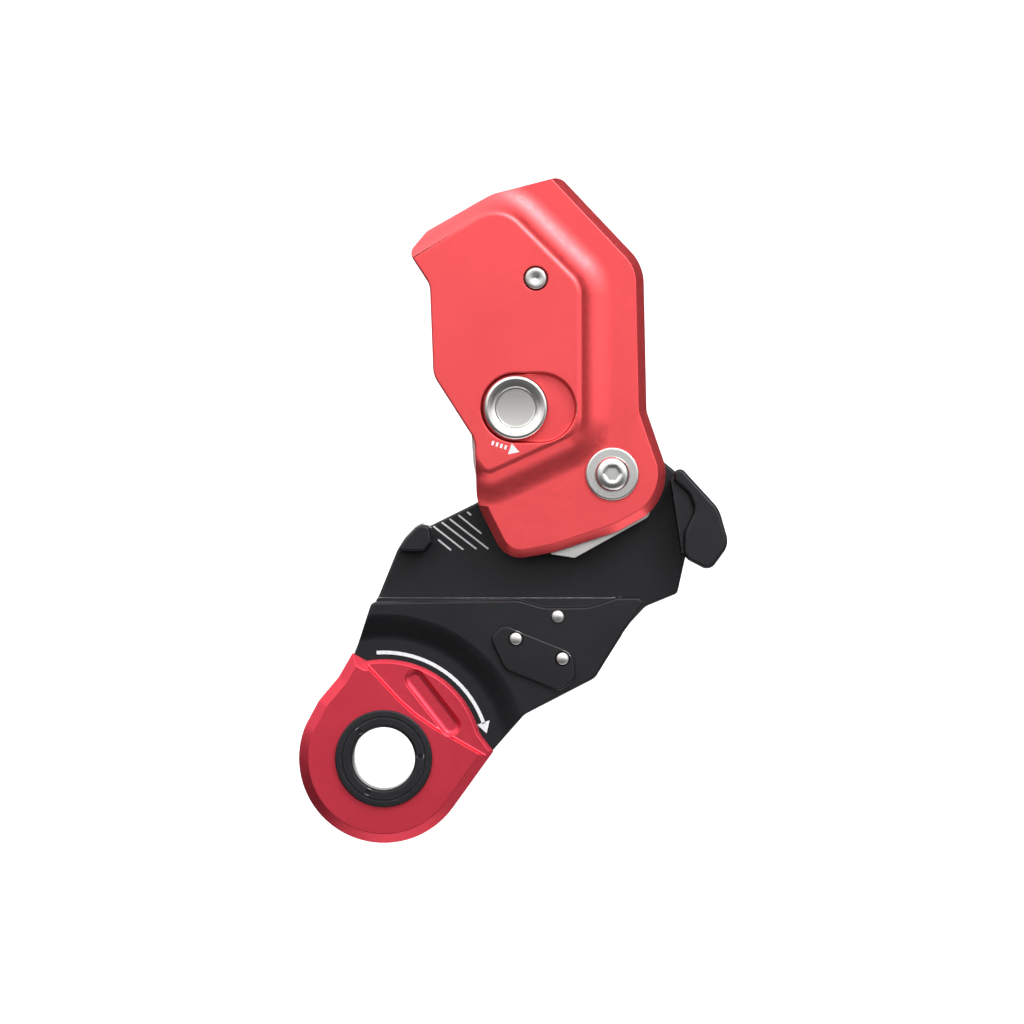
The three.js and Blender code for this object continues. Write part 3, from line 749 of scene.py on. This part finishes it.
def eye_lever():
    points = outline([
        (-66.9, -20.1),
        *arc(EYE, LEVER_BLADE, 100, 15),
        (-30.5, -45.4),
        *arc(EYE, LEVER_DISC, -34.8, -203),
        (-75.6, -32.4, 4),
        (-70.4, -26.2, 4),
    ])
    depth = 2.2
    body = loft("eye_lever_machined", [
        (offset(points, -0.4), LEVER_BACK),
        (points, LEVER_BACK - 0.4),
        (points, LEVER_FRONT + depth),
        (offset(points, -0.1), LEVER_FRONT + depth - 0.14),
        (offset(points, -2.38), LEVER_FRONT + 0.1),
        (offset(points, -2.6), LEVER_FRONT),
    ])
    ridge = [
        (-72, -14.6),
        (-62.6, -24.3),
        (-54.9, -32.6),
        (-50.6, -36.4),
        (-45.5, -39.9),
        (-38, -44),
        (-26, -50.9),
        (-18, -20),
        (-50, -5),
    ]
    blade = loft("tool", [
        (offset(ridge, -0.9), BLADE_FRONT),
        (offset(ridge, -0.5), BLADE_FRONT - 0.12),
        (ridge, LEVER_FRONT - 0.01),
        (ridge, LEVER_FRONT - 6),
    ])
    grip = slot((-50.8, -27), (-41.6, -38.8), 2.6)
    groove = loft("tool", [
        (offset(grip, -1.5), -8.85),
        (offset(grip, -0.9), -8.95),
        (offset(grip, -0.35), -9.25),
        (grip, BLADE_FRONT + 0.02),
        (offset(grip, 0.3), BLADE_FRONT - 0.02),
        (offset(grip, 0.3), LEVER_FRONT - 5),
    ])
    cut(body, blade, groove, rod(EYE, EYE_BORE + 0.1, FAR, -FAR, 128))
    soften(body, 0.12, 2, 28)
    return piece(body, "eye_lever", DEEP_RED, "red_anodised", "eye_lever")


# ---- Pivot ----

WASHER_BACK = HEAD_LOW_FRONT - 0.4
WASHER_FRONT = WASHER_BACK - 0.8


def pivot_bolt():
    head_back = WASHER_FRONT - GAP
    head_front = head_back - 2.6
    profile = [(0, head_front), (2.6, head_front)]
    profile += quarter(2.6, head_front, 4.5, head_front + 1.7, True, 8)
    profile += [(4.5, head_back - 0.2), (4.3, head_back), (3, head_back)]
    profile += [(3, 19.6), (2.6, 20.2), (0, 20.2)]
    body = turned("pivot_bolt_turned", PIVOT, profile)
    socket = loft("tool", [
        (circle(PIVOT, 1.9, 6), head_front + 1.7),
        (circle(PIVOT, 1.9, 6), head_front + 0.15),
        (circle(PIVOT, 2.15, 6), head_front),
        (circle(PIVOT, 2.15, 6), head_front - 3),
    ])
    cut(body, socket)
    soften(body, 0)
    return piece(body, "head", BOLT_STEEL, "steel", "pivot_bolt")


def pivot_washer():
    profile = [(BOLT_BORE, WASHER_FRONT), (6.3, WASHER_FRONT)]
    profile += quarter(6.3, WASHER_FRONT, 6.85, WASHER_FRONT + 0.45, True, 5)
    profile += [(6.85, WASHER_BACK), (BOLT_BORE, WASHER_BACK), (BOLT_BORE, WASHER_FRONT)]
    body = soften(turned("pivot_washer_turned", PIVOT, profile), 0)
    return piece(body, "head", BOLT_STEEL, "steel", "pivot_washer")


def pivot_sleeve():
    back, front = REAR_CHEEK_BACK + GAP, HEAD_LOW_FRONT - 0.1
    body = ring("pivot_sleeve_turned", PIVOT, BOLT_BORE, SLEEVE_RADIUS, back, front)
    return piece(soften(body, 0.1), "head", BOLT_STEEL, "steel", "pivot_sleeve")


def rear_washer():
    body = ring("rear_washer_turned", PIVOT, BOLT_BORE, 7.5, 15.6, 14.6)
    return piece(soften(body, 0.15, 3), "head", BOLT_STEEL, "steel", "rear_washer")


def pivot_nut():
    """A hexagon nut whose corners are turned down by a cone on its outer side."""
    hexagon = circle(PIVOT, 5.8, 6)
    body = loft("pivot_nut_hex", [(hexagon, 19.4), (hexagon, 15.9)])
    cone = turned("tool", PIVOT, [(0, 15.8), (7.2, 15.8), (7.2, 18.4), (5.1, 19.5), (0, 19.5)])
    combine(body, cone, "INTERSECT")
    cut(body, rod(PIVOT, BOLT_BORE, FAR, 0))
    soften(body, 0.08, 2, 25)
    return piece(body, "head", STEEL, "steel", "pivot_nut")


# ---- Head ----

HEAD_SIDE = [
    (8.1, 79.9, 12),
    (8.9, 42.2, 6),
    *arc(PIVOT, 13.8, 12, -52),
    (1.5, 11.2, 20),
    (-15, 5.8, 12),
    (-27.4, 3.6, 7),
    (-34.9, 18.5, 15),
    (-35.3, 34.6, 7),
    (-46, 51.3, 7),
    (-46.9, 74.6, 6),
]
HEAD_POINTS = outline([
    (-52.3, 82.9, 2.6),
    (-47.8, 88.4, 3),
    (-31, 98, 12),
    (-13.4, 102.6, 3.2),
    *HEAD_SIDE,
])
# The head with its top moved out, so that a chamfer along it misses the top edge.
OVERLONG_POINTS = outline([(-60, 82.9), (-60, 107), (-17.5, 107), *HEAD_SIDE])
RAISED_POINTS = outline([
    (-28.9, 96.4, 9.5),
    (-7.6, 75.2, 8),
    (-7.5, 36.4, 7),
    (-32.6, 24.9, 2.8),
    (-68.3, 72.6),
])


def low_plate():
    """The plate of the low zone, with the wide chamfer along its side and bottom."""
    width, depth = 2.2, 2.4
    points = offset(OVERLONG_POINTS, 0.02)
    return loft("tool", [
        (points, HEAD_BACK + 1),
        (points, HEAD_LOW_FRONT + depth),
        (offset(points, -0.06), HEAD_LOW_FRONT + depth - 0.14),
        (offset(points, -width + 0.16), HEAD_LOW_FRONT + 0.14),
        (offset(points, -width - 0.12), HEAD_LOW_FRONT),
    ])


def raised_plate():
    """The raised plate: its edge is rounded, then runs down a hollow fillet to the low zone."""
    steepest, edge, hollow = 48, 2.4, 10.6
    crest = RAISED_FILLET - math.sin(math.radians(steepest)) * (edge + hollow)
    rings = []
    for a in range(0, steepest, 8):
        sine, versine = math.sin(math.radians(a)), 1 - math.cos(math.radians(a))
        level = HEAD_FRONT + edge * versine
        rings.append((offset(RAISED_POINTS, crest + edge * sine), level))
    for a in range(steepest, -1, -4):
        sine, versine = math.sin(math.radians(a)), 1 - math.cos(math.radians(a))
        level = HEAD_LOW_FRONT - hollow * versine
        rings.append((offset(RAISED_POINTS, RAISED_FILLET - hollow * sine), level))
    foot = offset(RAISED_POINTS, RAISED_FILLET + 0.1)
    return loft("tool", [*rings, (foot, HEAD_LOW_FRONT + 0.03), (foot, HEAD_BACK + 1)])


def front_cheek():
    body = loft("front_cheek_machined", [
        (offset(HEAD_POINTS, -0.3), HEAD_BACK),
        (HEAD_POINTS, HEAD_BACK - 0.3),
        (HEAD_POINTS, HEAD_FRONT + 0.45),
        (offset(HEAD_POINTS, -0.15), HEAD_FRONT + 0.15),
        (offset(HEAD_POINTS, -0.45), HEAD_FRONT),
    ])
    combine(body, join(low_plate(), raised_plate()), "INTERSECT")
    end = (BUTTON[0] + BUTTON_TRAVEL, BUTTON[1])
    recess, floor = slot(BUTTON, end, 8.9), -11.5
    recess_tool = loft("tool", [
        (offset(recess, -0.5), floor),
        (offset(recess, -0.15), floor - 0.15),
        (recess, floor - 0.5),
        (recess, HEAD_FRONT + 0.35),
        (offset(recess, 0.35), HEAD_FRONT),
        (offset(recess, 0.35), HEAD_FRONT - 4),
    ])
    stem_slot = slot(BUTTON, end, STEM_RADIUS + GAP)
    cut(
        body,
        recess_tool,
        loft("tool", [(stem_slot, 0), (stem_slot, -FAR)]),
        rod(PIVOT, SLEEVE_BORE, 0, -FAR),
        countersunk(AXLE, 3.1, HEAD_FRONT, 0.2, 0),
    )
    soften(body, 0.12, 2, 35)
    return piece(body, "head", RED, "red_anodised", "front_cheek")


def cam():
    points = outline([
        (9.4, 14.9, 2),
        (-9.6, 4.3, 0.8),
        *teeth((-15.5, 5.2), (-27.1, 6.2), 8, 0.6),
        (-29, 7.8, 2),
        (-33.4, 17.5, 6),
        (-35.8, 29, 3),
        (-36.3, 36.5, 1.5),
        (-33, 50.5, 2),
        (3.5, 50.5, 3),
        (8.4, 36.5, 8),
        (12.2, 25, 6),
    ])
    body = plate("cam_ground", points, CAM_BACK, CAM_FRONT)
    shank_hole, head_hole = 1.8, 3.1
    pocket = outline([(-34, 38, 1), (-34, 48, 1), (-6, 48, 1), (-6, 38, 1)])
    pin = slot(LATCH_PIN, (LATCH_PIN[0] + BUTTON_TRAVEL, LATCH_PIN[1]), LATCH_PIN_HOLE)
    cut(
        body,
        rod(PIVOT, SLEEVE_BORE, FAR, -FAR),
        rod(PIVOT, 9.4, FAR, -2, 96),
        loft("tool", [(pocket, 2), (pocket, -FAR)]),
        loft("tool", [(pin, FAR), (pin, 0)]),
        *[rod(spot, shank_hole, FAR, -FAR) for spot in CAM_SCREWS.values()],
        *[rod(spot, head_hole, FAR, 3.2) for spot in CAM_SCREWS.values()],
    )
    soften(body, 0.15)
    return piece(body, "head", STEEL, "steel", "cam")


def cam_screw(place, centre):
    tip, shoulder, top = HEAD_BACK - 2.2, 3.5, 5.5
    profile = [(0, tip), (1.5, tip), (1.5, shoulder), (2.8, shoulder)]
    profile += [(2.8, top - 0.3), (2.5, top), (0, top)]
    body = turned("cam_screw_turned_" + place, centre, profile, 48)
    hexagon = circle(centre, 1.3, 6)
    cut(body, loft("tool", [(hexagon, FAR), (hexagon, 4.2)]))
    soften(body, 0)
    return piece(body, "head", STEEL, "steel", "cam_screw_" + place)


def sheave():
    radius, half, groove, bore, lip = 19.5, 6.2, 5.2, 8, 0.3
    side = [(bore, -half + lip), (bore + lip, -half), (10.8, -half), (11.2, -half + 0.6)]
    side += [(16.4, -half + 0.6), (16.8, -half), (radius - lip, -half), (radius, -half + lip)]
    bend = arc((radius - lip, 0), groove, -90, -270, 7.5)
    profile = side + bend + [(r, -y) for r, y in reversed(side)] + side[:1]
    body = soften(turned("sheave_turned", AXLE, profile, 128), 0.08)
    return piece(body, "sheave", ALUMINIUM, "clear_anodised", "sheave")


def sheave_bearing():
    body = ring("sheave_bearing_ring", AXLE, 5.3, 7.7, 5.9, -5.9)
    return piece(soften(body, 0.25, 3), "sheave", POLISHED, "polished_steel", "sheave_bearing")


def sheave_axle():
    end = HEAD_FRONT - 0.8
    tail = REAR_CHEEK_BACK + GAP
    profile = [(0, end + 0.75), (0.35, end + 0.7), (0.95, end + 0.12), (1.2, end), (2.1, end)]
    profile += quarter(2.1, end, 2.8, end + 0.55, True, 5)
    profile += [(2.8, -6.2), (5, -6.2), (5, 6.3), (3.6, 6.3)]
    profile += [(3.6, tail), (5.4, tail), (5.6, tail + 0.2), (5.6, tail + 1)]
    profile += quarter(5.6, tail + 1, 5.1, tail + 1.5, False, 4)
    profile.append((0, tail + 1.5))
    body = soften(turned("sheave_axle_turned", AXLE, profile, 72), 0)
    return piece(body, "head", STEEL, "steel", "sheave_axle")


def hook_slot(half):
    """The open arc about the pivot that lets the rear cheek swing off the axle."""
    swing = math.hypot(AXLE[0] - PIVOT[0], AXLE[1] - PIVOT[1])
    at_axle = math.degrees(math.atan2(AXLE[1] - PIVOT[1], AXLE[0] - PIVOT[0]))
    mouth = 155
    outer = arc(PIVOT, swing + half, at_axle, mouth)
    inner = arc(PIVOT, swing - half, mouth, at_axle)
    return outer + inner


def rear_cheek():
    points = outline([
        (-44.5, 73, 6),
        (-44.5, 86.6, 4),
        (-29.5, 95.5, 8),
        (-14.5, 99.3, 3),
        (5.4, 78.5, 12),
        (6.2, 42, 8),
        *arc(PIVOT, 11.5, 15, -115),
        (-31.5, 27, 5),
        (-33.5, 36, 7),
        (-43.8, 52, 7),
    ])
    body = plate("rear_cheek_machined", points, REAR_CHEEK_BACK, REAR_CHEEK_FRONT, 0.3, 0, 1)
    join(body, rod(AXLE, 17.4, REAR_CHEEK_FRONT + 1, REAR_PLATE_FRONT + GAP, 128))
    band = hook_slot(HOOK_HALF_WIDTH)
    cut(
        body,
        loft("tool", [(band, FAR), (band, 0)]),
        rod(AXLE, HOOK_HALF_WIDTH, FAR, 0),
        rod(PIVOT, SLEEVE_BORE, FAR, 0),
        rod(LATCH_PIN, LATCH_PIN_HOLE, 12.4, 0),
    )
    soften(body, 0.2)
    return piece(body, "rear_cheek", RED, "red_anodised", "rear_cheek")


# ---- Release button ----


def release_button():
    back, front = -11.8, -15.6
    dish = front + 1.15
    profile = [(0, dish), (4.7, dish), (5, dish - 0.05)]
    profile += quarter(5, dish - 0.05, 7.0, front + 0.06, False, 8)
    profile += [(7.35, front)]
    profile += quarter(7.35, front, 8.3, front + 1, True, 8)
    profile += [(8.3, back - 0.3), (8, back), (0, back)]
    body = soften(turned("release_button_dished", BUTTON, profile, 128), 0)
    return piece(body, "button", POLISHED, "polished_steel", "release_button")


def latch_slide():
    block = outline([
        (-31.2, 38.3, 0.6),
        (-31.2, 47.7, 0.6),
        (-18.6, 47.7, 0.6),
        (-18.6, 38.3, 0.6),
    ])
    body = plate("latch_slide_machined", block, 1.7, -5.9, 0.3, 0, 0.3)
    join(body, rod(BUTTON, STEM_RADIUS, -5, -11.5, 48), rod(LATCH_PIN, 2, 10.4, 1, 48))
    soften(body, 0.1)
    return piece(body, "button", STEEL, "steel", "latch_slide")


# ---- Springs and detent ----


def coil(name, start, along_y, radius, length, turns, wire, body, node):
    """A helical spring of round wire, wound about a line along Y, or else along X."""
    sides, per_turn = 12, 40
    steps = int(turns * per_turn)
    bm = bmesh.new()
    rings = []
    for i in range(steps + 1):
        angle = 2 * math.pi * turns * i / steps
        radial = Vector((math.cos(angle), 0, math.sin(angle)))
        tangent = Vector((-math.sin(angle), 0, math.cos(angle)))
        forward = tangent * radius + Vector((0, length / (2 * math.pi * turns), 0))
        side = forward.cross(radial).normalized()
        centre = radial * radius + Vector((0, length * i / steps, 0))
        spots = []
        for k in range(sides):
            around = 2 * math.pi * k / sides
            spot = centre + radial * wire * math.cos(around) + side * wire * math.sin(around)
            if not along_y:
                spot = Vector((spot.y, spot.x, spot.z))
            spots.append(bm.verts.new((spot + Vector(start)) * MM))
        rings.append(spots)
    for lower, upper in zip(rings, rings[1:]):
        for k in range(sides):
            bm.faces.new((lower[k], lower[(k + 1) % sides], upper[(k + 1) % sides], upper[k]))
    bm.faces.new(rings[0])
    bm.faces.new(list(reversed(rings[-1])))
    made = soften(object_from(name, bm), 0)
    return piece(made, body, WIRE, "spring_steel", node)


DETENT = on_circle(EYE, 17, 60)


def detent_ball():
    middle, radius = -6.2, 1.5
    profile = [(0, middle - radius)]
    for a in range(10, 180, 10):
        sine, cosine = math.sin(math.radians(a)), math.cos(math.radians(a))
        profile.append((radius * sine, middle - radius * cosine))
    profile.append((0, middle + radius))
    body = soften(turned("detent_ball_turned", DETENT, profile, 48), 0)
    return piece(body, "frame", POLISHED, "polished_steel", "detent_ball")


def detent_spring():
    start = (DETENT[0], -3.9, DETENT[1])
    return coil("detent_spring_wound", start, True, 1.1, 4.6, 4, 0.25, "frame", "detent_spring")


def closing_spring():
    start = (PIVOT[0], -1.2, PIVOT[1])
    return coil("closing_spring_wound", start, True, 7.3, 6.2, 4.5, 0.55, "frame", "closing_spring")


def button_spring():
    """The latch's spring, which the button squeezes as it slides."""
    start = (-17.9, -2.1, 43)
    made = coil("button_spring_wound", start, False, 3, 11.2, 5, 0.4, "head", "button_spring")
    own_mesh(made)
    return made


# ---- Printed marks ----


def print_mark(name, points, y, body, slot_name):
    """A thin printed shape on a face at y."""
    clear, thick = 0.005, 0.03
    mark = loft(name, [(points, y - clear), (points, y - thick)])
    return piece(mark, body, WHITE_INK, slot_name)


def stroke(start, end, width):
    return slot(start, end, width / 2)


def hatch_lines():
    """The slanting lines on the rear plate beside the head."""
    lines = [
        ((-44.9, 8.9), (-41.8, 6.4)),
        ((-46.1, 12.4), (-38.6, 6.5)),
        ((-43.9, 13.4), (-35.2, 6.7)),
        ((-41.9, 14.3), (-32.1, 6.7)),
        ((-39.6, 15.3), (-33.9, 10.7)),
        ((-37.3, 16.1), (-36.6, 15.5)),
    ]
    for i, (start, end) in enumerate(lines):
        line = stroke(start, end, 0.45)
        print_mark(f"hatch_line_{i + 1}", line, REAR_PLATE_FRONT, "frame", "black_anodised")


def turn_arrow():
    """The curved arrow in the dished floor that shows which way the lever turns."""
    radius, half = 27.2, 0.46
    start, end = 94, 19
    band = arc(EYE, radius + half, start, end) + arc(EYE, radius - half, end, start)
    print_mark("turn_arrow_line", band, FRAME_FLOOR, "frame", "black_anodised")
    tip = on_circle(EYE, radius, end - 5.6)
    head = [on_circle(EYE, radius + 1.7, end + 0.6), tip, on_circle(EYE, radius - 1.7, end + 0.6)]
    print_mark("turn_arrow_head", head, FRAME_FLOOR, "frame", "black_anodised")


def travel_arrow():
    """The small dashed arrow beside the button."""
    start, tip = Vector((-31, 34)), Vector((-23.9, 31.6))
    pitch, dash, half = 1.15, 0.6, 0.55
    along = (tip - start).normalized()
    across = Vector((-along.y, along.x))
    for i in range(4):
        a = start + along * (pitch * i)
        b = a + along * dash
        corners = [a - across * half, b - across * half, b + across * half, a + across * half]
        name = f"travel_arrow_dash_{i + 1}"
        print_mark(name, [tuple(p) for p in corners], HEAD_FRONT, "head", "red_anodised")
    base = start + along * 4.9
    head = [tuple(base - across * 1.5), tuple(tip), tuple(base + across * 1.5)]
    print_mark("travel_arrow_head", head, HEAD_FRONT, "head", "red_anodised")


# ---- Assembly ----

rear_frame()
front_frame()
jaw_insert()
rivet("jaw_rivet_turned", JAW_RIVET, COVER_BACK, "jaw_rivet")
cover_plate()
for place, centre in COVER_RIVETS.items():
    rivet(f"cover_rivet_{place}_turned", centre, COVER_FRONT - GAP, "cover_rivet_" + place)
eye_bush()
eye_nut()
detent_ball()
detent_spring()
pivot_bolt()
pivot_washer()
pivot_sleeve()
rear_washer()
pivot_nut()
closing_spring()
front_cheek()
cam()
for place, centre in CAM_SCREWS.items():
    cam_screw(place, centre)
sheave()
sheave_bearing()
sheave_axle()
rear_cheek()
release_button()
latch_slide()
button_spring()
eye_lever()
hatch_lines()
turn_arrow()
travel_arrow()


# ---- Stage ----


def backdrop():
    """A pale floor that curves up into a wall all the way round."""
    floor_z, floor_radius, bend, wall = -0.15, 2.2, 0.8, 4
    sides, steps = 96, 16
    profile = [(0, floor_z), (floor_radius, floor_z)]
    for i in range(1, steps + 1):
        a = math.pi / 2 * i / steps
        profile.append((floor_radius + bend * math.sin(a), floor_z + bend * (1 - math.cos(a))))
    profile.append((floor_radius + bend, floor_z + wall))
    bm = bmesh.new()
    rings = []
    for radius, z in profile:
        spots = circle((0, 0), radius, sides if radius else 1)
        rings.append([bm.verts.new((x, y, z)) for x, y in spots])
    for lower, upper in zip(rings, rings[1:]):
        for k in range(sides):
            j = (k + 1) % sides
            corners = [lower[k % len(lower)], lower[j % len(lower)], upper[j], upper[k]]
            bm.faces.new(list(dict.fromkeys(corners)))
    bowl = object_from("backdrop", bm)
    for polygon in bowl.data.polygons:
        polygon.use_smooth = True
    bowl.data.materials.append(backdrop_material())
    bowl.visible_glossy = False
    bowl.visible_diffuse = False


def area_light(name, location, target, size, power):
    data = bpy.data.lights.new(name, "AREA")
    data.size = size
    data.energy = power
    lamp = bpy.data.objects.new(name, data)
    lamp.location = location
    lamp.rotation_euler = (Vector(target) - Vector(location)).to_track_quat("-Z", "Y").to_euler()
    bpy.context.scene.collection.objects.link(lamp)


# Brightness round the Y axis, as (turn, level), from the right (0) over the top (0.25), left and
# bottom: first for directions that slant to the front, then for those square to the Y axis.
WORLD_FRONT_RING = [
    (0, 1.3),
    (0.04, 1.9),
    (0.12, 3.2),
    (0.25, 2),
    (0.36, 3),
    (0.46, 1),
    (0.56, 0.25),
    (0.66, 0.15),
    (0.78, 0.15),
    (0.88, 0.25),
    (0.95, 0.7),
    (1, 1.3),
]
WORLD_SIDE_RING = [
    (0, 0.12),
    (0.14, 0.1),
    (0.2, 1.2),
    (0.3, 1.8),
    (0.42, 1.5),
    (0.48, 0.25),
    (0.62, 0.12),
    (0.68, 1.2),
    (0.75, 1.9),
    (0.85, 1.5),
    (0.92, 0.4),
    (1, 0.12),
]
# Brightness towards the front and the back, as (height, level), from straight down (0) to up (1).
WORLD_FACING = [(0.3, 0.15), (0.46, 0.2), (0.5, 0.55), (0.55, 1.8), (0.8, 1.8)]


def half_range(tree, value):
    """Maps -1 to 1 onto 0 to 1."""
    mapped = add_node(tree, "ShaderNodeMapRange")
    mapped.inputs["From Min"].default_value = -1
    tree.links.new(value, mapped.inputs["Value"])
    return mapped.outputs["Result"]


def turn_about_y(tree, x, z):
    """The direction's turn about the Y axis, from 0 to 1."""
    angle = tree.nodes.new("ShaderNodeMath")
    angle.operation = "ARCTAN2"
    tree.links.new(z, angle.inputs[0])
    tree.links.new(x, angle.inputs[1])
    turns = tree.nodes.new("ShaderNodeMath")
    turns.operation = "DIVIDE"
    turns.inputs[1].default_value = 2 * math.pi
    tree.links.new(angle.outputs["Value"], turns.inputs[0])
    part = tree.nodes.new("ShaderNodeMath")
    part.operation = "FRACT"
    tree.links.new(turns.outputs["Value"], part.inputs[0])
    return part.outputs["Value"]


def studio_world():
    """Soft surroundings: rings of panels and dark flags, and a plain gradient at front and back."""
    world = bpy.data.worlds.new("studio")
    bpy.context.scene.world = world
    world.use_nodes = True
    tree = world.node_tree
    direction = tree.nodes.new("ShaderNodeSeparateXYZ")
    source = tree.nodes.new("ShaderNodeTexCoord").outputs["Generated"]
    tree.links.new(source, direction.inputs["Vector"])
    x, y, z = (direction.outputs[axis] for axis in "XYZ")

    turn = turn_about_y(tree, x, z)
    front_ring = level_ramp(tree, turn, WORLD_FRONT_RING)
    side_ring = level_ramp(tree, turn, WORLD_SIDE_RING)
    facing = level_ramp(tree, half_range(tree, z), WORLD_FACING)

    depth = half_range(tree, y)
    to_side = level_ramp(tree, depth, [(0.29, 0), (0.39, 1)])
    to_facing = level_ramp(tree, depth, [(0.05, 1), (0.15, 0), (0.8, 0), (0.92, 1)])
    rings = mixed(tree, to_side, front_ring, side_ring)
    background = tree.nodes["Background"]
    background.inputs["Strength"].default_value = 1
    tree.links.new(mixed(tree, to_facing, rings, facing), background.inputs["Color"])


def lights():
    middle = (-0.026, 0, 0.016)
    area_light("key_softbox", (0.6, -1.25, 1), middle, 0.6, 14)
    area_light("rear_softbox", (-0.75, 1, 1.1), middle, 0.8, 12)
    studio_world()


def camera():
    distance, view_width = 1.6, 0.2653
    centre = Vector((-0.0258, 0, 0.0162))
    data = bpy.data.cameras.new("camera")
    data.sensor_width = 36
    data.lens = 36 * distance / view_width
    data.clip_start, data.clip_end = 0.01, 20
    made = bpy.data.objects.new("camera", data)
    made.location = centre + Vector((0, -distance, 0))
    made.rotation_euler = (math.radians(90), 0, 0)
    bpy.context.scene.collection.objects.link(made)
    bpy.context.scene.camera = made


backdrop()
lights()
camera()
bpy.context.scene.view_settings.view_transform = "Standard"
